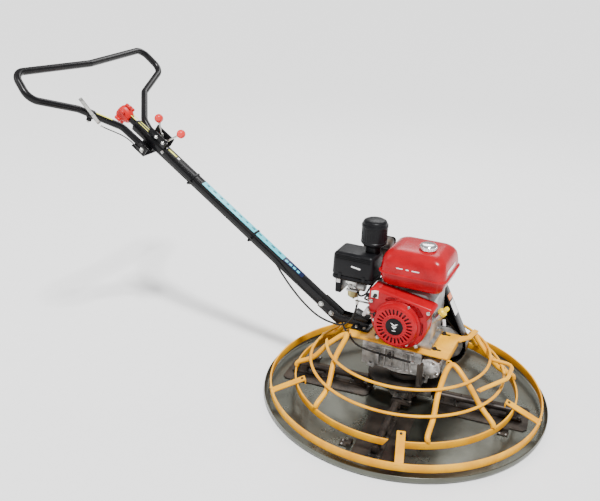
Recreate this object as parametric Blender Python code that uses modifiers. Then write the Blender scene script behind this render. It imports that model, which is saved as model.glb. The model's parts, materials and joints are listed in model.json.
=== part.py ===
"""Walk-behind power trowel with a float pan, modelled as an assembly of separate parts.

Frame: metres, +Z up, origin on the floor under the centre of the float pan.  The handle
leans away towards -X, the recoil starter is on the -Y side and the belt drive on the +Y side.
"""

import math

import bmesh
import bpy
from mathutils import Matrix, Vector

# ---------------------------------------------------------------- driving dimensions
GAP = 0.0003                      # running gap between pieces that touch

PAN_R = 0.500
PAN_T = 0.003
RIM_BEND_R = 0.013
PAN_LIP = 0.0255                  # height of the pan's turned-up edge

GUARD_R = 0.480
BAND_T = 0.006
GUARD_Z = (0.0285, 0.0565)
BAND_R = 0.392
BAND_Z = (0.049, 0.074)
MID_RING = (0.3375, 0.134)        # radius, height
UPPER_RING = (0.284, 0.197)
ROD_R = 0.005
LEG_R = 0.009
BAR_ANGLES = (-73.8, -2.7, 74.0, 214.5)
BAND_GAP_ANGLE = -78.2            # the lower band is open here

DECK_X = (-0.2035, 0.162)
DECK_Y = 0.0925
DECK_TOP = 0.236
DECK_T = 0.006
FAR_APEX = (0.197, 0.158, 0.2165)  # this pair of legs stands clear of the belt guard

ARM_Z = 0.032
ARM_R = 0.011
BLADE_START = 0.112
BLADE_END = 0.438
BLADE_HALF_W = 0.075
BLADE_T = 0.003
BLADE_BOTTOM = 0.0034
FIRST_BLADE = -85.0
FINGER_OFFSET = 0.045
FINGER_AT = 0.116
WEAR_Z = 0.0843
WEAR_R = 0.130

SHAFT_R = 0.015
WHEEL_R = 0.087
WORM_X = 0.108
WORM_Z = 0.182
BOX_R = 0.096
BOX_Z = (0.142, 0.2297)
YOKE_X = 0.085
YOKE_Z = 0.128

CRANK_X = -0.010
CRANK_Z = 0.338
BELT_Y = 0.127
CLUTCH_R = 0.036
DRIVEN_R = 0.060

HANDLE_FOOT = (-0.260, 0.0, 0.248)
HANDLE_ANGLE = math.radians(34.44)
HANDLE_LENGTH = 1.045
HANDLE_HALF = 0.0185
LOOP_R = 0.013


# ---------------------------------------------------------------- scene and finishes
def clear_scene():
    """Remove whatever the start-up file holds."""
    for item in list(bpy.data.objects):
        bpy.data.objects.remove(item, do_unlink=True)


def new_collection(name):
    collection = bpy.data.collections.new(name)
    bpy.context.scene.collection.children.link(collection)
    return collection


clear_scene()
PARTS = new_collection("power_trowel")
CUTTERS = new_collection("cutters")


def finish(name, colour, roughness, metallic=0.0):
    """A Principled material with one colour."""
    material = bpy.data.materials.new(name)
    material.use_nodes = True
    shader = material.node_tree.nodes["Principled BSDF"]
    shader.inputs["Base Color"].default_value = (*colour, 1.0)
    shader.inputs["Roughness"].default_value = roughness
    shader.inputs["Metallic"].default_value = metallic
    material.diffuse_color = (*colour, 1.0)
    return material


YELLOW = finish("guard_yellow", (0.80, 0.46, 0.07), 0.38)
PAN_STEEL = finish("pan_steel", (0.13, 0.14, 0.13), 0.22, 0.9)
BLADE_STEEL = finish("blade_steel", (0.12, 0.11, 0.10), 0.40, 0.8)
CAST_GREY = finish("cast_grey", (0.34, 0.33, 0.31), 0.55, 0.6)
BLACK_PAINT = finish("black_paint", (0.02, 0.02, 0.022), 0.30)
BLACK_PLASTIC = finish("black_plastic", (0.025, 0.025, 0.026), 0.50)
ENGINE_RED = finish("engine_red", (0.62, 0.02, 0.03), 0.25)
KNOB_RED = finish("knob_red", (0.70, 0.05, 0.04), 0.35)
BRIGHT_STEEL = finish("bright_steel", (0.60, 0.60, 0.60), 0.25, 1.0)
DARK_STEEL = finish("dark_steel", (0.10, 0.10, 0.10), 0.40, 0.8)
ALLOY = finish("die_cast_alloy", (0.45, 0.45, 0.44), 0.45, 0.8)
BRASS = finish("carburettor_alloy", (0.42, 0.38, 0.26), 0.40, 0.8)
BRONZE = finish("bronze", (0.45, 0.28, 0.12), 0.40, 0.8)
RUBBER = finish("rubber", (0.015, 0.015, 0.015), 0.70)
GREY_PLASTIC = finish("grey_plastic", (0.55, 0.55, 0.55), 0.45)
DIPSTICK_YELLOW = finish("dipstick_yellow", (0.85, 0.50, 0.05), 0.40)


# ---------------------------------------------------------------- making pieces
def keep(obj, material, parent, guide):
    """File an object with the parts, or with the hidden cutters, under its parent."""
    if guide:
        CUTTERS.objects.link(obj)
        obj.hide_render = True
        obj.display_type = "WIRE"
    else:
        PARTS.objects.link(obj)
    if material is not None:
        obj.data.materials.clear()
        obj.data.materials.append(material)
    if parent is not None:
        obj.parent = parent
        obj.matrix_parent_inverse = parent.matrix_world.inverted()
    return obj


def frame_empty(name, location, rotation=(0.0, 0.0, 0.0)):
    """An empty on a joint's axis that moving pieces hang from."""
    empty = bpy.data.objects.new(name, None)
    empty.empty_display_size = 0.05
    empty.location = location
    empty.rotation_euler = rotation
    PARTS.objects.link(empty)
    bpy.context.view_layer.update()
    return empty


def mesh_object(name, bm, material, at, turn, parent, guide, smooth=0.0):
    """Turn a finished bmesh into an object; smooth is the sharp-edge angle in degrees."""
    bmesh.ops.recalc_face_normals(bm, faces=bm.faces)
    mesh = bpy.data.meshes.new(name)
    bm.to_mesh(mesh)
    bm.free()
    if smooth:
        mesh.shade_smooth()
        mesh.set_sharp_from_angle(angle=math.radians(smooth))
    obj = bpy.data.objects.new(name, mesh)
    obj.location = at
    obj.rotation_euler = turn
    return keep(obj, material, parent, guide)


def box(name, size, at, material=None, turn=(0, 0, 0), parent=None, bevel=0.0, guide=False):
    """A block of the given size, centred at a point, with rounded edges if bevel is set."""
    bm = bmesh.new()
    bmesh.ops.create_cube(bm, size=1.0, matrix=Matrix.Diagonal((*size, 1.0)))
    obj = mesh_object(name, bm, material, at, turn, parent, guide)
    if bevel:
        rounding = obj.modifiers.new("rounded_edges", "BEVEL")
        rounding.width = bevel
        rounding.segments = 2
    return obj


AXIS_TURN = {"X": (0.0, math.pi / 2, 0.0), "Y": (-math.pi / 2, 0.0, 0.0), "Z": (0.0, 0.0, 0.0)}


def rod(name, radius, length, at, axis="Z", material=None, parent=None, sides=16, turn=None,
        guide=False, tip=None):
    """A cylinder, or a cone with tip radius, centred at a point along an axis."""
    bm = bmesh.new()
    bmesh.ops.create_cone(bm, cap_ends=True, segments=sides, radius1=radius,
                          radius2=radius if tip is None else tip, depth=length)
    rotation = AXIS_TURN[axis] if turn is None else turn
    return mesh_object(name, bm, material, at, rotation, parent, guide, smooth=40.0)


def ball(name, radius, at, material, parent=None, guide=False):
    bm = bmesh.new()
    bmesh.ops.create_uvsphere(bm, u_segments=12, v_segments=8, radius=radius)
    return mesh_object(name, bm, material, at, (0, 0, 0), parent, guide, smooth=60.0)


def turned(name, profile, at, material=None, axis="Z", steps=32, closed=False, parent=None,
           guide=False):
    """A turned shape: (radius, height) points that run down its outer side, then back."""
    bm = bmesh.new()
    verts = [bm.verts.new((radius, 0.0, height)) for radius, height in profile]
    for first, second in zip(verts, verts[1:]):
        bm.edges.new((first, second))
    if closed:
        bm.edges.new((verts[-1], verts[0]))
    mesh = bpy.data.meshes.new(name)
    bm.to_mesh(mesh)
    bm.free()
    obj = bpy.data.objects.new(name, mesh)
    obj.location = at
    obj.rotation_euler = AXIS_TURN[axis]
    screw = obj.modifiers.new("turn", "SCREW")
    screw.axis = "Z"
    screw.angle = 2.0 * math.pi
    screw.steps = steps
    screw.render_steps = steps
    screw.use_merge_vertices = True
    screw.merge_threshold = 0.00001
    screw.use_smooth_shade = True
    return keep(obj, material, parent, guide)


def ring_profile(inner, outer, low, high):
    return [(outer, high), (outer, low), (inner, low), (inner, high)]


def disc_profile(radius, low, high):
    return [(0.0, high), (radius, high), (radius, low), (0.0, low)]


def curve_object(name, points, radius, cyclic=False, resolution=2):
    """A round wire or tube along points, as a POLY curve."""
    curve = bpy.data.curves.new(name, "CURVE")
    curve.dimensions = "3D"
    curve.bevel_depth = radius
    curve.bevel_resolution = resolution
    curve.use_fill_caps = not cyclic
    curve.twist_mode = "MINIMUM"
    spline = curve.splines.new("POLY")
    spline.points.add(len(points) - 1)
    for item, point in zip(spline.points, points):
        item.co = (*point, 1.0)
    spline.use_cyclic_u = cyclic
    return bpy.data.objects.new(name, curve)


def tube(name, points, radius, material, parent=None, cyclic=False, resolution=2):
    return keep(curve_object(name, points, radius, cyclic, resolution), material, parent, False)


def as_mesh(obj, material, parent, guide):
    """Make a curve object a mesh with its caps welded on, so that it can be cut or joined."""
    bpy.context.scene.collection.objects.link(obj)
    bpy.context.view_layer.update()
    evaluated = obj.evaluated_get(bpy.context.evaluated_depsgraph_get())
    mesh = bpy.data.meshes.new_from_object(evaluated)
    bm = bmesh.new()
    bm.from_mesh(mesh)
    bmesh.ops.remove_doubles(bm, verts=bm.verts, dist=0.00001)
    bmesh.ops.recalc_face_normals(bm, faces=bm.faces)
    bm.to_mesh(mesh)
    bm.free()
    name = obj.name
    world = obj.matrix_world.copy()
    bpy.data.objects.remove(obj, do_unlink=True)
    solid = bpy.data.objects.new(name, mesh)
    solid.matrix_world = world
    return keep(solid, material, parent, guide)


def slab(name, outlines, thickness, at, turn, material=None, parent=None, guide=False):
    """A flat plate: closed 2D outlines, filled between them, with a thickness."""
    curve = bpy.data.curves.new(name, "CURVE")
    curve.dimensions = "2D"
    curve.fill_mode = "BOTH"
    curve.extrude = thickness / 2.0
    for outline in outlines:
        spline = curve.splines.new("POLY")
        spline.points.add(len(outline) - 1)
        for item, (x, y) in zip(spline.points, outline):
            item.co = (x, y, 0.0, 1.0)
        spline.use_cyclic_u = True
    obj = bpy.data.objects.new(name, curve)
    obj.location = at
    obj.rotation_euler = turn
    return as_mesh(obj, material, parent, guide)


FACING_NEAR = (math.pi / 2, 0.0, 0.0)      # a slab's x, y run along world X and Z


def join(target, *guides):
    """Union the hidden shapes into the target."""
    for guide in guides:
        weld = target.modifiers.new("weld_" + guide.name[:40], "BOOLEAN")
        weld.operation = "UNION"
        weld.solver = "EXACT"
        weld.object = guide
    return target


def cut(target, *guides):
    """Cut the hidden shapes out of the target."""
    for guide in guides:
        hole = target.modifiers.new("cut_" + guide.name[:40], "BOOLEAN")
        hole.operation = "DIFFERENCE"
        hole.solver = "EXACT"
        hole.object = guide
    return target


# ---------------------------------------------------------------- outlines and paths
def polar(radius, degrees, height=0.0):
    angle = math.radians(degrees)
    return Vector((radius * math.cos(angle), radius * math.sin(angle), height))


def arc(centre, radius, start, end, count):
    """Points on a 2D arc, angles in degrees, both ends included."""
    step = (end - start) / (count - 1)
    angles = [math.radians(start + step * i) for i in range(count)]
    return [(centre[0] + radius * math.cos(a), centre[1] + radius * math.sin(a)) for a in angles]


def rounded(points, radius, segments=4, closed=False):
    """Replace the corners of a path with arcs of one bend radius."""
    points = [Vector(p) for p in points]
    count = len(points)
    result = []
    for i, corner in enumerate(points):
        if not closed and i in (0, count - 1):
            result.append(corner)
            continue
        before = (points[i - 1] - corner).normalized()
        after = (points[(i + 1) % count] - corner).normalized()
        half = before.angle(after) / 2.0
        setback = radius / math.tan(half)
        centre = corner + (before + after).normalized() * (radius / math.sin(half))
        start = corner + before * setback - centre
        end = corner + after * setback - centre
        sweep = start.angle(end)
        for k in range(segments + 1):
            t = k / segments
            weight_a = math.sin((1.0 - t) * sweep) / math.sin(sweep)
            weight_b = math.sin(t * sweep) / math.sin(sweep)
            result.append(centre + start * weight_a + end * weight_b)
    return result


def smooth_path(points, per_span=5):
    """Points read from a Catmull-Rom curve through the route's own points."""
    route = [Vector(p) for p in points]
    padded = [2 * route[0] - route[1], *route, 2 * route[-1] - route[-2]]
    result = []
    for a, b, c, d in zip(padded, padded[1:], padded[2:], padded[3:]):
        for k in range(per_span):
            t = k / per_span
            linear = (c - a) * t
            square = (2 * a - 5 * b + 4 * c - d) * t * t
            cube = (3 * b - a - 3 * c + d) * t ** 3
            result.append(b + (linear + square + cube) / 2.0)
    result.append(route[-1])
    return result


def stadium(first, first_r, second, second_r, count=10):
    """The outline of a belt round two circles, as 2D points."""
    delta = Vector(second) - Vector(first)
    along = math.atan2(delta.y, delta.x)
    spread = math.acos((first_r - second_r) / delta.length)
    start = math.degrees(along + spread)
    end = math.degrees(along - spread)
    around_first = arc(first, first_r, start, end + 360.0, count)
    around_second = arc(second, second_r, end, start, count)
    return around_first + around_second


# ---------------------------------------------------------------- guard cage and deck
def build_guard():
    """The yellow cage: two flat bands, two rod rings, four bars and four pairs of legs."""
    ring = turned("guard_outer_ring", ring_profile(GUARD_R - BAND_T, GUARD_R, *GUARD_Z),
                  (0, 0, 0), YELLOW, steps=60, closed=True)
    outer, inner = GUARD_R - BAND_T / 2, 0.360
    low, high = 0.0475, 0.0905
    tilt = math.atan2(high - low, outer - inner)
    for number, angle in enumerate(BAR_ANGLES, 1):
        middle = polar((outer + inner) / 2, angle, (low + high) / 2)
        length = math.hypot(outer - inner, high - low)
        bar = box(f"guard_bar_{number}", (length, 0.028, 0.005), middle,
                  turn=(0, tilt, math.radians(angle)), guide=True)
        join(ring, bar)

    band = turned("guard_lower_band", ring_profile(BAND_R - BAND_T, BAND_R, *BAND_Z),
                  (0, 0, 0), YELLOW, steps=60, closed=True)
    gap = box("band_gap", (0.08, 0.034, 0.06), polar(BAND_R, BAND_GAP_ANGLE, sum(BAND_Z) / 2),
              turn=(math.radians(32), 0, math.radians(BAND_GAP_ANGLE)), guide=True)
    cut(band, gap)

    mid = [polar(MID_RING[0], 360.0 * i / 48, MID_RING[1]) for i in range(48)]
    tube("guard_mid_ring", mid, ROD_R, YELLOW, cyclic=True, resolution=1)
    upper = [polar(UPPER_RING[0], -162.0 + 324.0 * i / 42, UPPER_RING[1]) for i in range(43)]
    tube("guard_upper_ring", upper, ROD_R, YELLOW, resolution=1)


def leg_path(foot_angle, mid_angle, upper_angle, apex):
    """One leg, from its foot on the lower band, inside both rod rings, up to the apex."""
    inset = (LEG_R + ROD_R + 0.0012) * math.sqrt(0.5)
    foot = polar(BAND_R - BAND_T / 2, foot_angle, BAND_Z[1] + 0.0034)
    above = polar(BAND_R - 0.012, foot_angle, BAND_Z[1] + 0.018)
    mid = polar(MID_RING[0] - inset, mid_angle, MID_RING[1] - inset)
    upper = polar(UPPER_RING[0] - inset, upper_angle, UPPER_RING[1] - inset)
    return [foot, above, mid, upper, apex]


def build_legs():
    """Each pair of legs is one tube bent over at a corner of the deck."""
    front = ((61.4, 56.6, 50.4), (25.4, 24.9, 26.9))
    rear = ((120.8, 124.4, 136.0), (162.0, 160.5, 159.5))
    pairs = (("front_near", front, -1, (0.181, -0.1045, 0.2265)),
             ("front_far", front, 1, FAR_APEX),
             ("rear_near", rear, -1, (-0.200, -0.079, 0.2265)),
             ("rear_far", rear, 1, (-0.200, 0.079, 0.2265)))
    for name, angles, side, apex in pairs:
        first, second = (leg_path(*(side * a for a in leg), Vector(apex)) for leg in angles)
        path = first[:-1] + second[::-1]
        tube(f"guard_legs_{name}", smooth_path(path, 3), LEG_R, YELLOW, resolution=1)
    grab = [(0.2835, -0.1185, 0.1665), (0.356, -0.034, 0.187), (0.356, 0.055, 0.190),
            (0.2865, 0.0478, 0.197)]
    tube("lift_handle", rounded(grab, 0.022), 0.007, YELLOW)


def build_deck():
    back, front = DECK_X
    near_half = [(front, -DECK_Y), (back + 0.0275, -DECK_Y), (back, -DECK_Y + 0.0425)]
    far_half = [(x, -y) for x, y in reversed(near_half)]
    height = DECK_TOP - DECK_T / 2
    deck = slab("deck_plate", [near_half + far_half], DECK_T, (0, 0, height), (0, 0, 0), YELLOW)
    lug = [(0.140, 0.050), (0.168, 0.050), (0.198, 0.092), (0.209, 0.160), (0.192, 0.166),
           (0.183, 0.104), (0.140, 0.074)]
    join(deck, slab("deck_lug", [lug], DECK_T, (0, 0, height), (0, 0, 0), guide=True))


# ---------------------------------------------------------------- rotor, blades and pan
def build_pan(parent):
    """The float pan: a pressed disc with a turned-up rim and four blade clips."""
    centre = (PAN_R - RIM_BEND_R, RIM_BEND_R)
    inner = arc(centre, RIM_BEND_R - PAN_T, -90.0, 0.0, 3)
    outer = arc(centre, RIM_BEND_R, 0.0, -90.0, 3)
    lip = [(PAN_R - PAN_T, PAN_LIP), (PAN_R, PAN_LIP)]
    profile = [(0.0, PAN_T), *inner, *lip, *outer, (0.0, 0.0)]
    pan = turned("float_pan", profile, (0, 0, 0), PAN_STEEL, steps=60, parent=parent)
    for number in range(4):
        angle = FIRST_BLADE + 90.0 * number
        side = math.radians(angle)
        spot = polar(0.365, angle, PAN_T + 0.006)
        spot += Vector((-math.sin(side), math.cos(side), 0.0)) * -(BLADE_HALF_W + 0.016)
        clip = box(f"blade_clip_{number + 1}", (0.034, 0.014, 0.0136), spot, turn=(0, 0, side),
                   guide=True)
        join(pan, clip)


def build_blade(number, empty):
    """A trowel arm that turns in the spider, with its blade under it."""
    arm = rod(f"trowel_arm_{number}", ARM_R, 0.360, (0.222, 0, 0), "X", DARK_STEEL, sides=16)
    foot_top = 0.0128 - ARM_Z
    foot_low = BLADE_BOTTOM + BLADE_T + GAP - ARM_Z
    foot = box(f"arm_foot_{number}", (0.286, 0.044, foot_top - foot_low),
               (0.275, 0, (foot_top + foot_low) / 2), guide=True)
    pads = [box(f"arm_pad_{number}_{k}", (0.034, 0.026, -foot_top), (x, 0, foot_top / 2 - 0.0005),
                guide=True) for k, x in enumerate((0.165, 0.272, 0.380))]
    collar = box(f"arm_collar_{number}", (0.018, 0.034, 0.030), (FINGER_AT, 0, 0), guide=True)
    finger = box(f"arm_finger_{number}", (0.014, FINGER_OFFSET, 0.012),
                 (FINGER_AT, FINGER_OFFSET / 2 + 0.006, 0.008), guide=True)
    top = WEAR_Z - 3 * GAP - ARM_Z
    screw = rod(f"arm_screw_{number}", 0.006, top - 0.004, (FINGER_AT, FINGER_OFFSET, top / 2 + 0.002),
                sides=12, guide=True)
    blade = [(BLADE_START, -0.060), (BLADE_START + 0.012, -BLADE_HALF_W),
             (BLADE_END - 0.012, -BLADE_HALF_W), (BLADE_END, -0.060)]
    blade += [(x, -y) for x, y in reversed(blade)]
    plate = slab(f"trowel_blade_{number}", [blade], BLADE_T,
                 (0, 0, BLADE_BOTTOM + BLADE_T / 2 - ARM_Z), (0, 0, 0), BLADE_STEEL)
    for item in (arm, foot, *pads, collar, finger, screw, plate):
        item.parent = empty
    join(arm, foot, *pads, collar, finger, screw)


def build_spider(parent):
    """The hub that carries the four arms, keyed to the rotor shaft."""
    hub = turned("spider_hub", disc_profile(0.052, 0.012, 0.068), (0, 0, 0), CAST_GREY,
                 steps=32, parent=parent)
    for number in range(4):
        angle = FIRST_BLADE + 90.0 * number
        aim = (0, math.pi / 2, math.radians(angle))
        boss = rod(f"hub_boss_{number}", 0.0195, 0.070, polar(0.066, angle, ARM_Z), turn=aim,
                   guide=True)
        join(hub, boss)
    for number in range(4):
        angle = FIRST_BLADE + 90.0 * number
        aim = (0, math.pi / 2, math.radians(angle))
        bore = rod(f"hub_bore_{number}", ARM_R + GAP, 0.080, polar(0.077, angle, ARM_Z),
                   turn=aim, sides=16, guide=True)
        cut(hub, bore)
    cut(hub, rod("hub_shaft_bore", SHAFT_R + GAP, 0.08, (0, 0, 0.044), guide=True))
    rod("rotor_shaft", SHAFT_R, 0.206, (0, 0, 0.013 + 0.103), material=DARK_STEEL,
        parent=parent)


def build_worm_wheel(parent):
    """A 25-tooth bronze worm wheel on the rotor shaft."""
    teeth = 25
    outline = []
    for k in range(teeth):
        for share, radius in ((0.0, WHEEL_R - 0.006), (0.3, WHEEL_R - 0.006), (0.45, WHEEL_R),
                              (0.85, WHEEL_R)):
            angle = 2.0 * math.pi * (k + share) / teeth
            outline.append((radius * math.cos(angle), radius * math.sin(angle)))
    bore = arc((0, 0), SHAFT_R + GAP, 0.0, 345.0, 24)
    slab("worm_wheel", [outline, bore], 0.024, (0, 0, WORM_Z), (0, 0, 0), BRONZE, parent)


def build_pitch_gear(wear, yoke):
    """The wear plate on the arms' fingers, and the roller yoke that presses it down."""
    top = 0.0257
    plate = [(WEAR_R, 0.008), (WEAR_R, 0.0), (SHAFT_R + GAP * 3, 0.0),
             (SHAFT_R + GAP * 3, top), (0.056, top), (0.056, 0.008)]
    turned("wear_plate", plate, (0, 0, WEAR_Z), DARK_STEEL, closed=True, steps=40, parent=wear)

    pin = rod("pitch_yoke", 0.007, 0.216, (YOKE_X, -0.027, YOKE_Z), "Y", DARK_STEEL, sides=16)
    pieces = []
    roller_z = WEAR_Z + top + GAP + 0.008
    for side in (-1, 1):
        y = 0.044 * side
        pieces.append(rod(f"yoke_roller_{side + 1}", 0.008, 0.012, (0, y, roller_z), "Y",
                          sides=16, guide=True))
        rise = math.atan2(YOKE_Z - roller_z, YOKE_X)
        pieces.append(box(f"yoke_fork_{side + 1}", (YOKE_X, 0.010, 0.009),
                          (YOKE_X / 2, y, (YOKE_Z + roller_z) / 2), turn=(0, -rise, 0), guide=True))
    pieces.append(box("yoke_lever", (0.020, 0.006, 0.090), (YOKE_X, -0.131, 0.166), guide=True))
    pieces.append(rod("yoke_cable_pin", 0.005, 0.024, (YOKE_X, -0.120, 0.205), "Y", sides=12,
                      guide=True))
    join(pin, *pieces)
    pin.parent = yoke
    pin.matrix_parent_inverse = yoke.matrix_world.inverted()


# ---------------------------------------------------------------- gearbox and drive
def build_gearbox():
    """Cast housing with a worm tunnel and two lugs, and the bearing cover under it."""
    low, high = BOX_Z
    shell = turned("gearbox_housing", disc_profile(BOX_R, low, high), (0, 0, 0), CAST_GREY)
    tunnel = box("worm_tunnel", (0.056, 0.176, 0.052), (WORM_X, -0.002, WORM_Z), guide=True)
    step = box("cast_block", (0.210, 0.120, high - low - 0.002),
               (-0.030, -0.030, (high + low) / 2), guide=True)
    join(shell, tunnel, step)
    for side in (-1, 1):
        join(shell, box(f"yoke_lug_{side + 1}", (0.026, 0.010, 0.050),
                        (YOKE_X, 0.068 * side, 0.139), guide=True))
    room = turned("gear_room", disc_profile(0.090, low - 0.01, high - 0.007), (0, 0, 0),
                  guide=True)
    bore = rod("worm_bore", 0.0245, 0.150, (WORM_X, 0.006, WORM_Z), "Y", guide=True)
    pin_bore = rod("yoke_pin_bore", 0.007 + GAP, 0.20, (YOKE_X, 0, YOKE_Z), "Y", sides=16,
                   guide=True)
    exit_bore = rod("worm_exit", 0.0125, 0.05, (WORM_X, 0.085, WORM_Z), "Y", guide=True)
    cut(shell, room, bore, exit_bore, pin_bore)

    cover = [(0.0897, 0.006), (0.0897, 0.0), (0.040, 0.0), (0.034, -0.010), (SHAFT_R + GAP, -0.010),
             (SHAFT_R + GAP, 0.006)]
    turned("gearbox_cover", cover, (0, 0, low + GAP), CAST_GREY, closed=True, steps=32)


def build_worm(parent):
    """Worm shaft with its worm in the tunnel and its end out on the belt side."""
    length = BELT_Y + 0.012 + 0.066
    profile = [(0.0, length), (0.0095, length), (0.0095, 0.140), (0.0118, 0.138), (0.0118, 0.115),
               (0.0203, 0.112), (0.0203, 0.030), (0.0118, 0.027), (0.0118, 0.0), (0.0, 0.0)]
    turned("worm_shaft", profile, (WORM_X, -0.066, WORM_Z), DARK_STEEL, "Y", 24, parent=parent)
    turned("driven_pulley", groove_profile(DRIVEN_R, 0.0098, 0.0110), (WORM_X, BELT_Y, WORM_Z),
           CAST_GREY, "Y", 28, closed=True, parent=parent)


def groove_profile(radius, bore, half_width):
    """A single-groove pulley: rim, groove for a 13 mm belt and bore."""
    floor = radius - 0.009
    groove = 0.0068
    return [(radius, half_width), (radius, groove), (floor, groove), (floor, -groove),
            (radius, -groove), (radius, -half_width), (bore, -half_width), (bore, half_width)]


def build_clutch(parent):
    """Centrifugal clutch drum with the drive pulley on its outer end."""
    drum = [(CLUTCH_R, 0.0110), (CLUTCH_R, 0.0068), (0.027, 0.0068), (0.027, -0.0068),
            (CLUTCH_R, -0.0068), (CLUTCH_R, -0.009), (0.052, -0.009), (0.052, -0.028),
            (0.048, -0.028), (0.048, -0.012), (0.0128, -0.012), (0.0128, 0.0110)]
    turned("clutch_drum", drum, (CRANK_X, BELT_Y, CRANK_Z), DARK_STEEL, "Y", 24, closed=True,
           parent=parent)


def build_belt():
    """The V-belt round both pulleys and the slanted black guard over it."""
    crank = (CRANK_X, CRANK_Z)
    worm = (WORM_X, WORM_Z)
    inner = stadium(crank, 0.0283, worm, DRIVEN_R - 0.0075, 14)
    outer = stadium(crank, 0.0355, worm, DRIVEN_R - 0.0005, 14)
    slab("v_belt", [outer, inner], 0.0128, (0, BELT_Y, 0), FACING_NEAR, RUBBER)
    guard = slab("belt_guard", [stadium(crank, 0.108, worm, 0.075, 12)], 0.050,
                 (0, 0.1235, 0), FACING_NEAR, BLACK_PAINT)
    hollow = slab("belt_guard_room", [stadium(crank, 0.105, worm, 0.072, 12)], 0.060,
                  (0, 0.1235 - 0.0085, 0), FACING_NEAR, guide=True)
    cut(guard, hollow)


# ---------------------------------------------------------------- engine
def build_crank(parent):
    """Crankshaft with one throw, the flywheel on the fan side and the clutch hub."""
    shaft = rod("crankshaft", 0.0125, 0.256, (CRANK_X, 0.012, CRANK_Z), "Y", DARK_STEEL,
                parent=parent, sides=20)
    for y in (-0.020, 0.024):
        join(shaft, rod(f"crank_web_{y:.3f}", 0.042, 0.012, (CRANK_X, y, CRANK_Z), "Y", guide=True))
    pin = rod("crank_pin", 0.014, 0.05, (CRANK_X - 0.022, 0.002, CRANK_Z), "Y", guide=True)
    hub = rod("clutch_hub", 0.0455, 0.013, (CRANK_X, 0.1065, CRANK_Z), "Y", sides=32, guide=True)
    join(shaft, pin, hub)
    turned("flywheel", ring_profile(0.0128, 0.074, -0.112, -0.090), (CRANK_X, 0, CRANK_Z), ALLOY,
           "Y", 32, closed=True, parent=parent)


def build_crankcase():
    """Crankcase with its feet, hollow round the crank, and the cylinder and head beside it."""
    base = DECK_TOP + GAP
    outline = [(-0.088, base), (0.098, base), (0.098, base + 0.012), (0.088, base + 0.022),
               (0.092, 0.300), (0.088, 0.412), (0.060, 0.432), (-0.045, 0.432), (-0.078, 0.395),
               (-0.074, base + 0.022), (-0.088, base + 0.012)]
    case = slab("crankcase", [outline], 0.150, (0, 0.0125, 0), FACING_NEAR, ALLOY)
    room = rod("crank_room", 0.060, 0.128, (CRANK_X, 0.0125, CRANK_Z), "Y", guide=True)
    bore = rod("crank_bore", 0.0128, 0.24, (CRANK_X, 0.0125, CRANK_Z), "Y", guide=True)
    neck = rod("filler_neck", 0.012, 0.050, (0.098, -0.045, 0.352),
               turn=(0, math.radians(40), 0), sides=16, guide=True)
    join(case, neck)
    cut(case, room, bore)

    lean = math.radians(25.0)
    core = box("cylinder_head", (0.056, 0.084, 0.072), (-0.1105, 0.008, 0.386), ALLOY,
               turn=(0, lean, 0))
    for k in range(4):
        along = -0.022 + 0.0135 * k
        spot = (-0.1105 + along * math.cos(lean), 0.008, 0.386 - along * math.sin(lean))
        join(core, box(f"cooling_fin_{k}", (0.004, 0.104, 0.084), spot, turn=(0, lean, 0),
                       guide=True))
    trim = box("head_trim", (0.06, 0.2, 0.3), (-0.0776 + 0.030 - 0.0007, 0.0, 0.40), guide=True)
    cut(core, trim)


def shroud_outline(grow=0.0):
    """The fan housing's outline: round below, with an ear over the cylinder at the left."""
    low = arc((-0.005, 0.3455), 0.097 + grow, -165.0, 15.0, 14)
    right = arc((0.094, 0.404), 0.014 + grow, 10.0, 75.0, 3)
    ear = [(-0.086 + grow * 0.3, 0.4515 + grow), (-0.1165 - grow, 0.436 + grow * 0.5),
           (-0.1165 - grow, 0.386 - grow)]
    return low + right + ear


def build_shroud(spool, grip):
    """Red fan housing with the recoil starter's cover, spool, rope guide and grip."""
    shroud = slab("fan_shroud", [shroud_outline()], 0.060, (0, -0.097, 0), FACING_NEAR,
                  ENGINE_RED)
    room = slab("fan_room", [shroud_outline(-0.0025)], 0.070, (0, -0.0895, 0), FACING_NEAR,
                guide=True)
    mouth = rod("fan_mouth", 0.076, 0.03, (CRANK_X, -0.125, CRANK_Z + 0.002), "Y", sides=40,
                guide=True)
    cut(shroud, room, mouth)
    dome = [(0.0, -0.0265), (0.058, -0.0265), (0.070, -0.022), (0.0745, -0.014), (0.0745, -0.0045),
            (0.086, -0.003), (0.086, 0.0), (0.072, 0.0), (0.072, -0.013), (0.068, -0.0195),
            (0.057, -0.0240), (0.0, -0.0240)]
    cover = turned("recoil_cover", dome[::-1], (CRANK_X, -0.1273, CRANK_Z + 0.002), ENGINE_RED,
                   "Y", 32)
    slot = box("rope_exit", (0.03, 0.008, 0.010), (CRANK_X - 0.072, -0.1385, 0.361), guide=True)
    cut(cover, slot)
    reel = [(0.040, 0.006), (0.040, 0.004), (0.032, 0.004), (0.032, -0.004), (0.040, -0.004),
            (0.040, -0.006), (0.008, -0.006), (0.008, 0.006)]
    turned("recoil_spool", reel, (CRANK_X, -0.1385, CRANK_Z), BLACK_PLASTIC, "Y", 20, closed=True,
           parent=spool)
    handle = rod("recoil_grip", 0.0075, 0.060, (-0.1175, -0.1290, 0.361), "Y", GREY_PLASTIC,
                 parent=grip, sides=16)
    stub = rod("grip_rope", 0.0022, 0.022, (-0.1040, -0.1385, 0.361), "X", sides=10, guide=True)
    nose = rod("grip_nose", 0.0065, 0.012, (-0.1085, -0.1385, 0.361), "X", sides=12, guide=True,
               tip=0.0040)
    join(handle, nose, stub)


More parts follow.
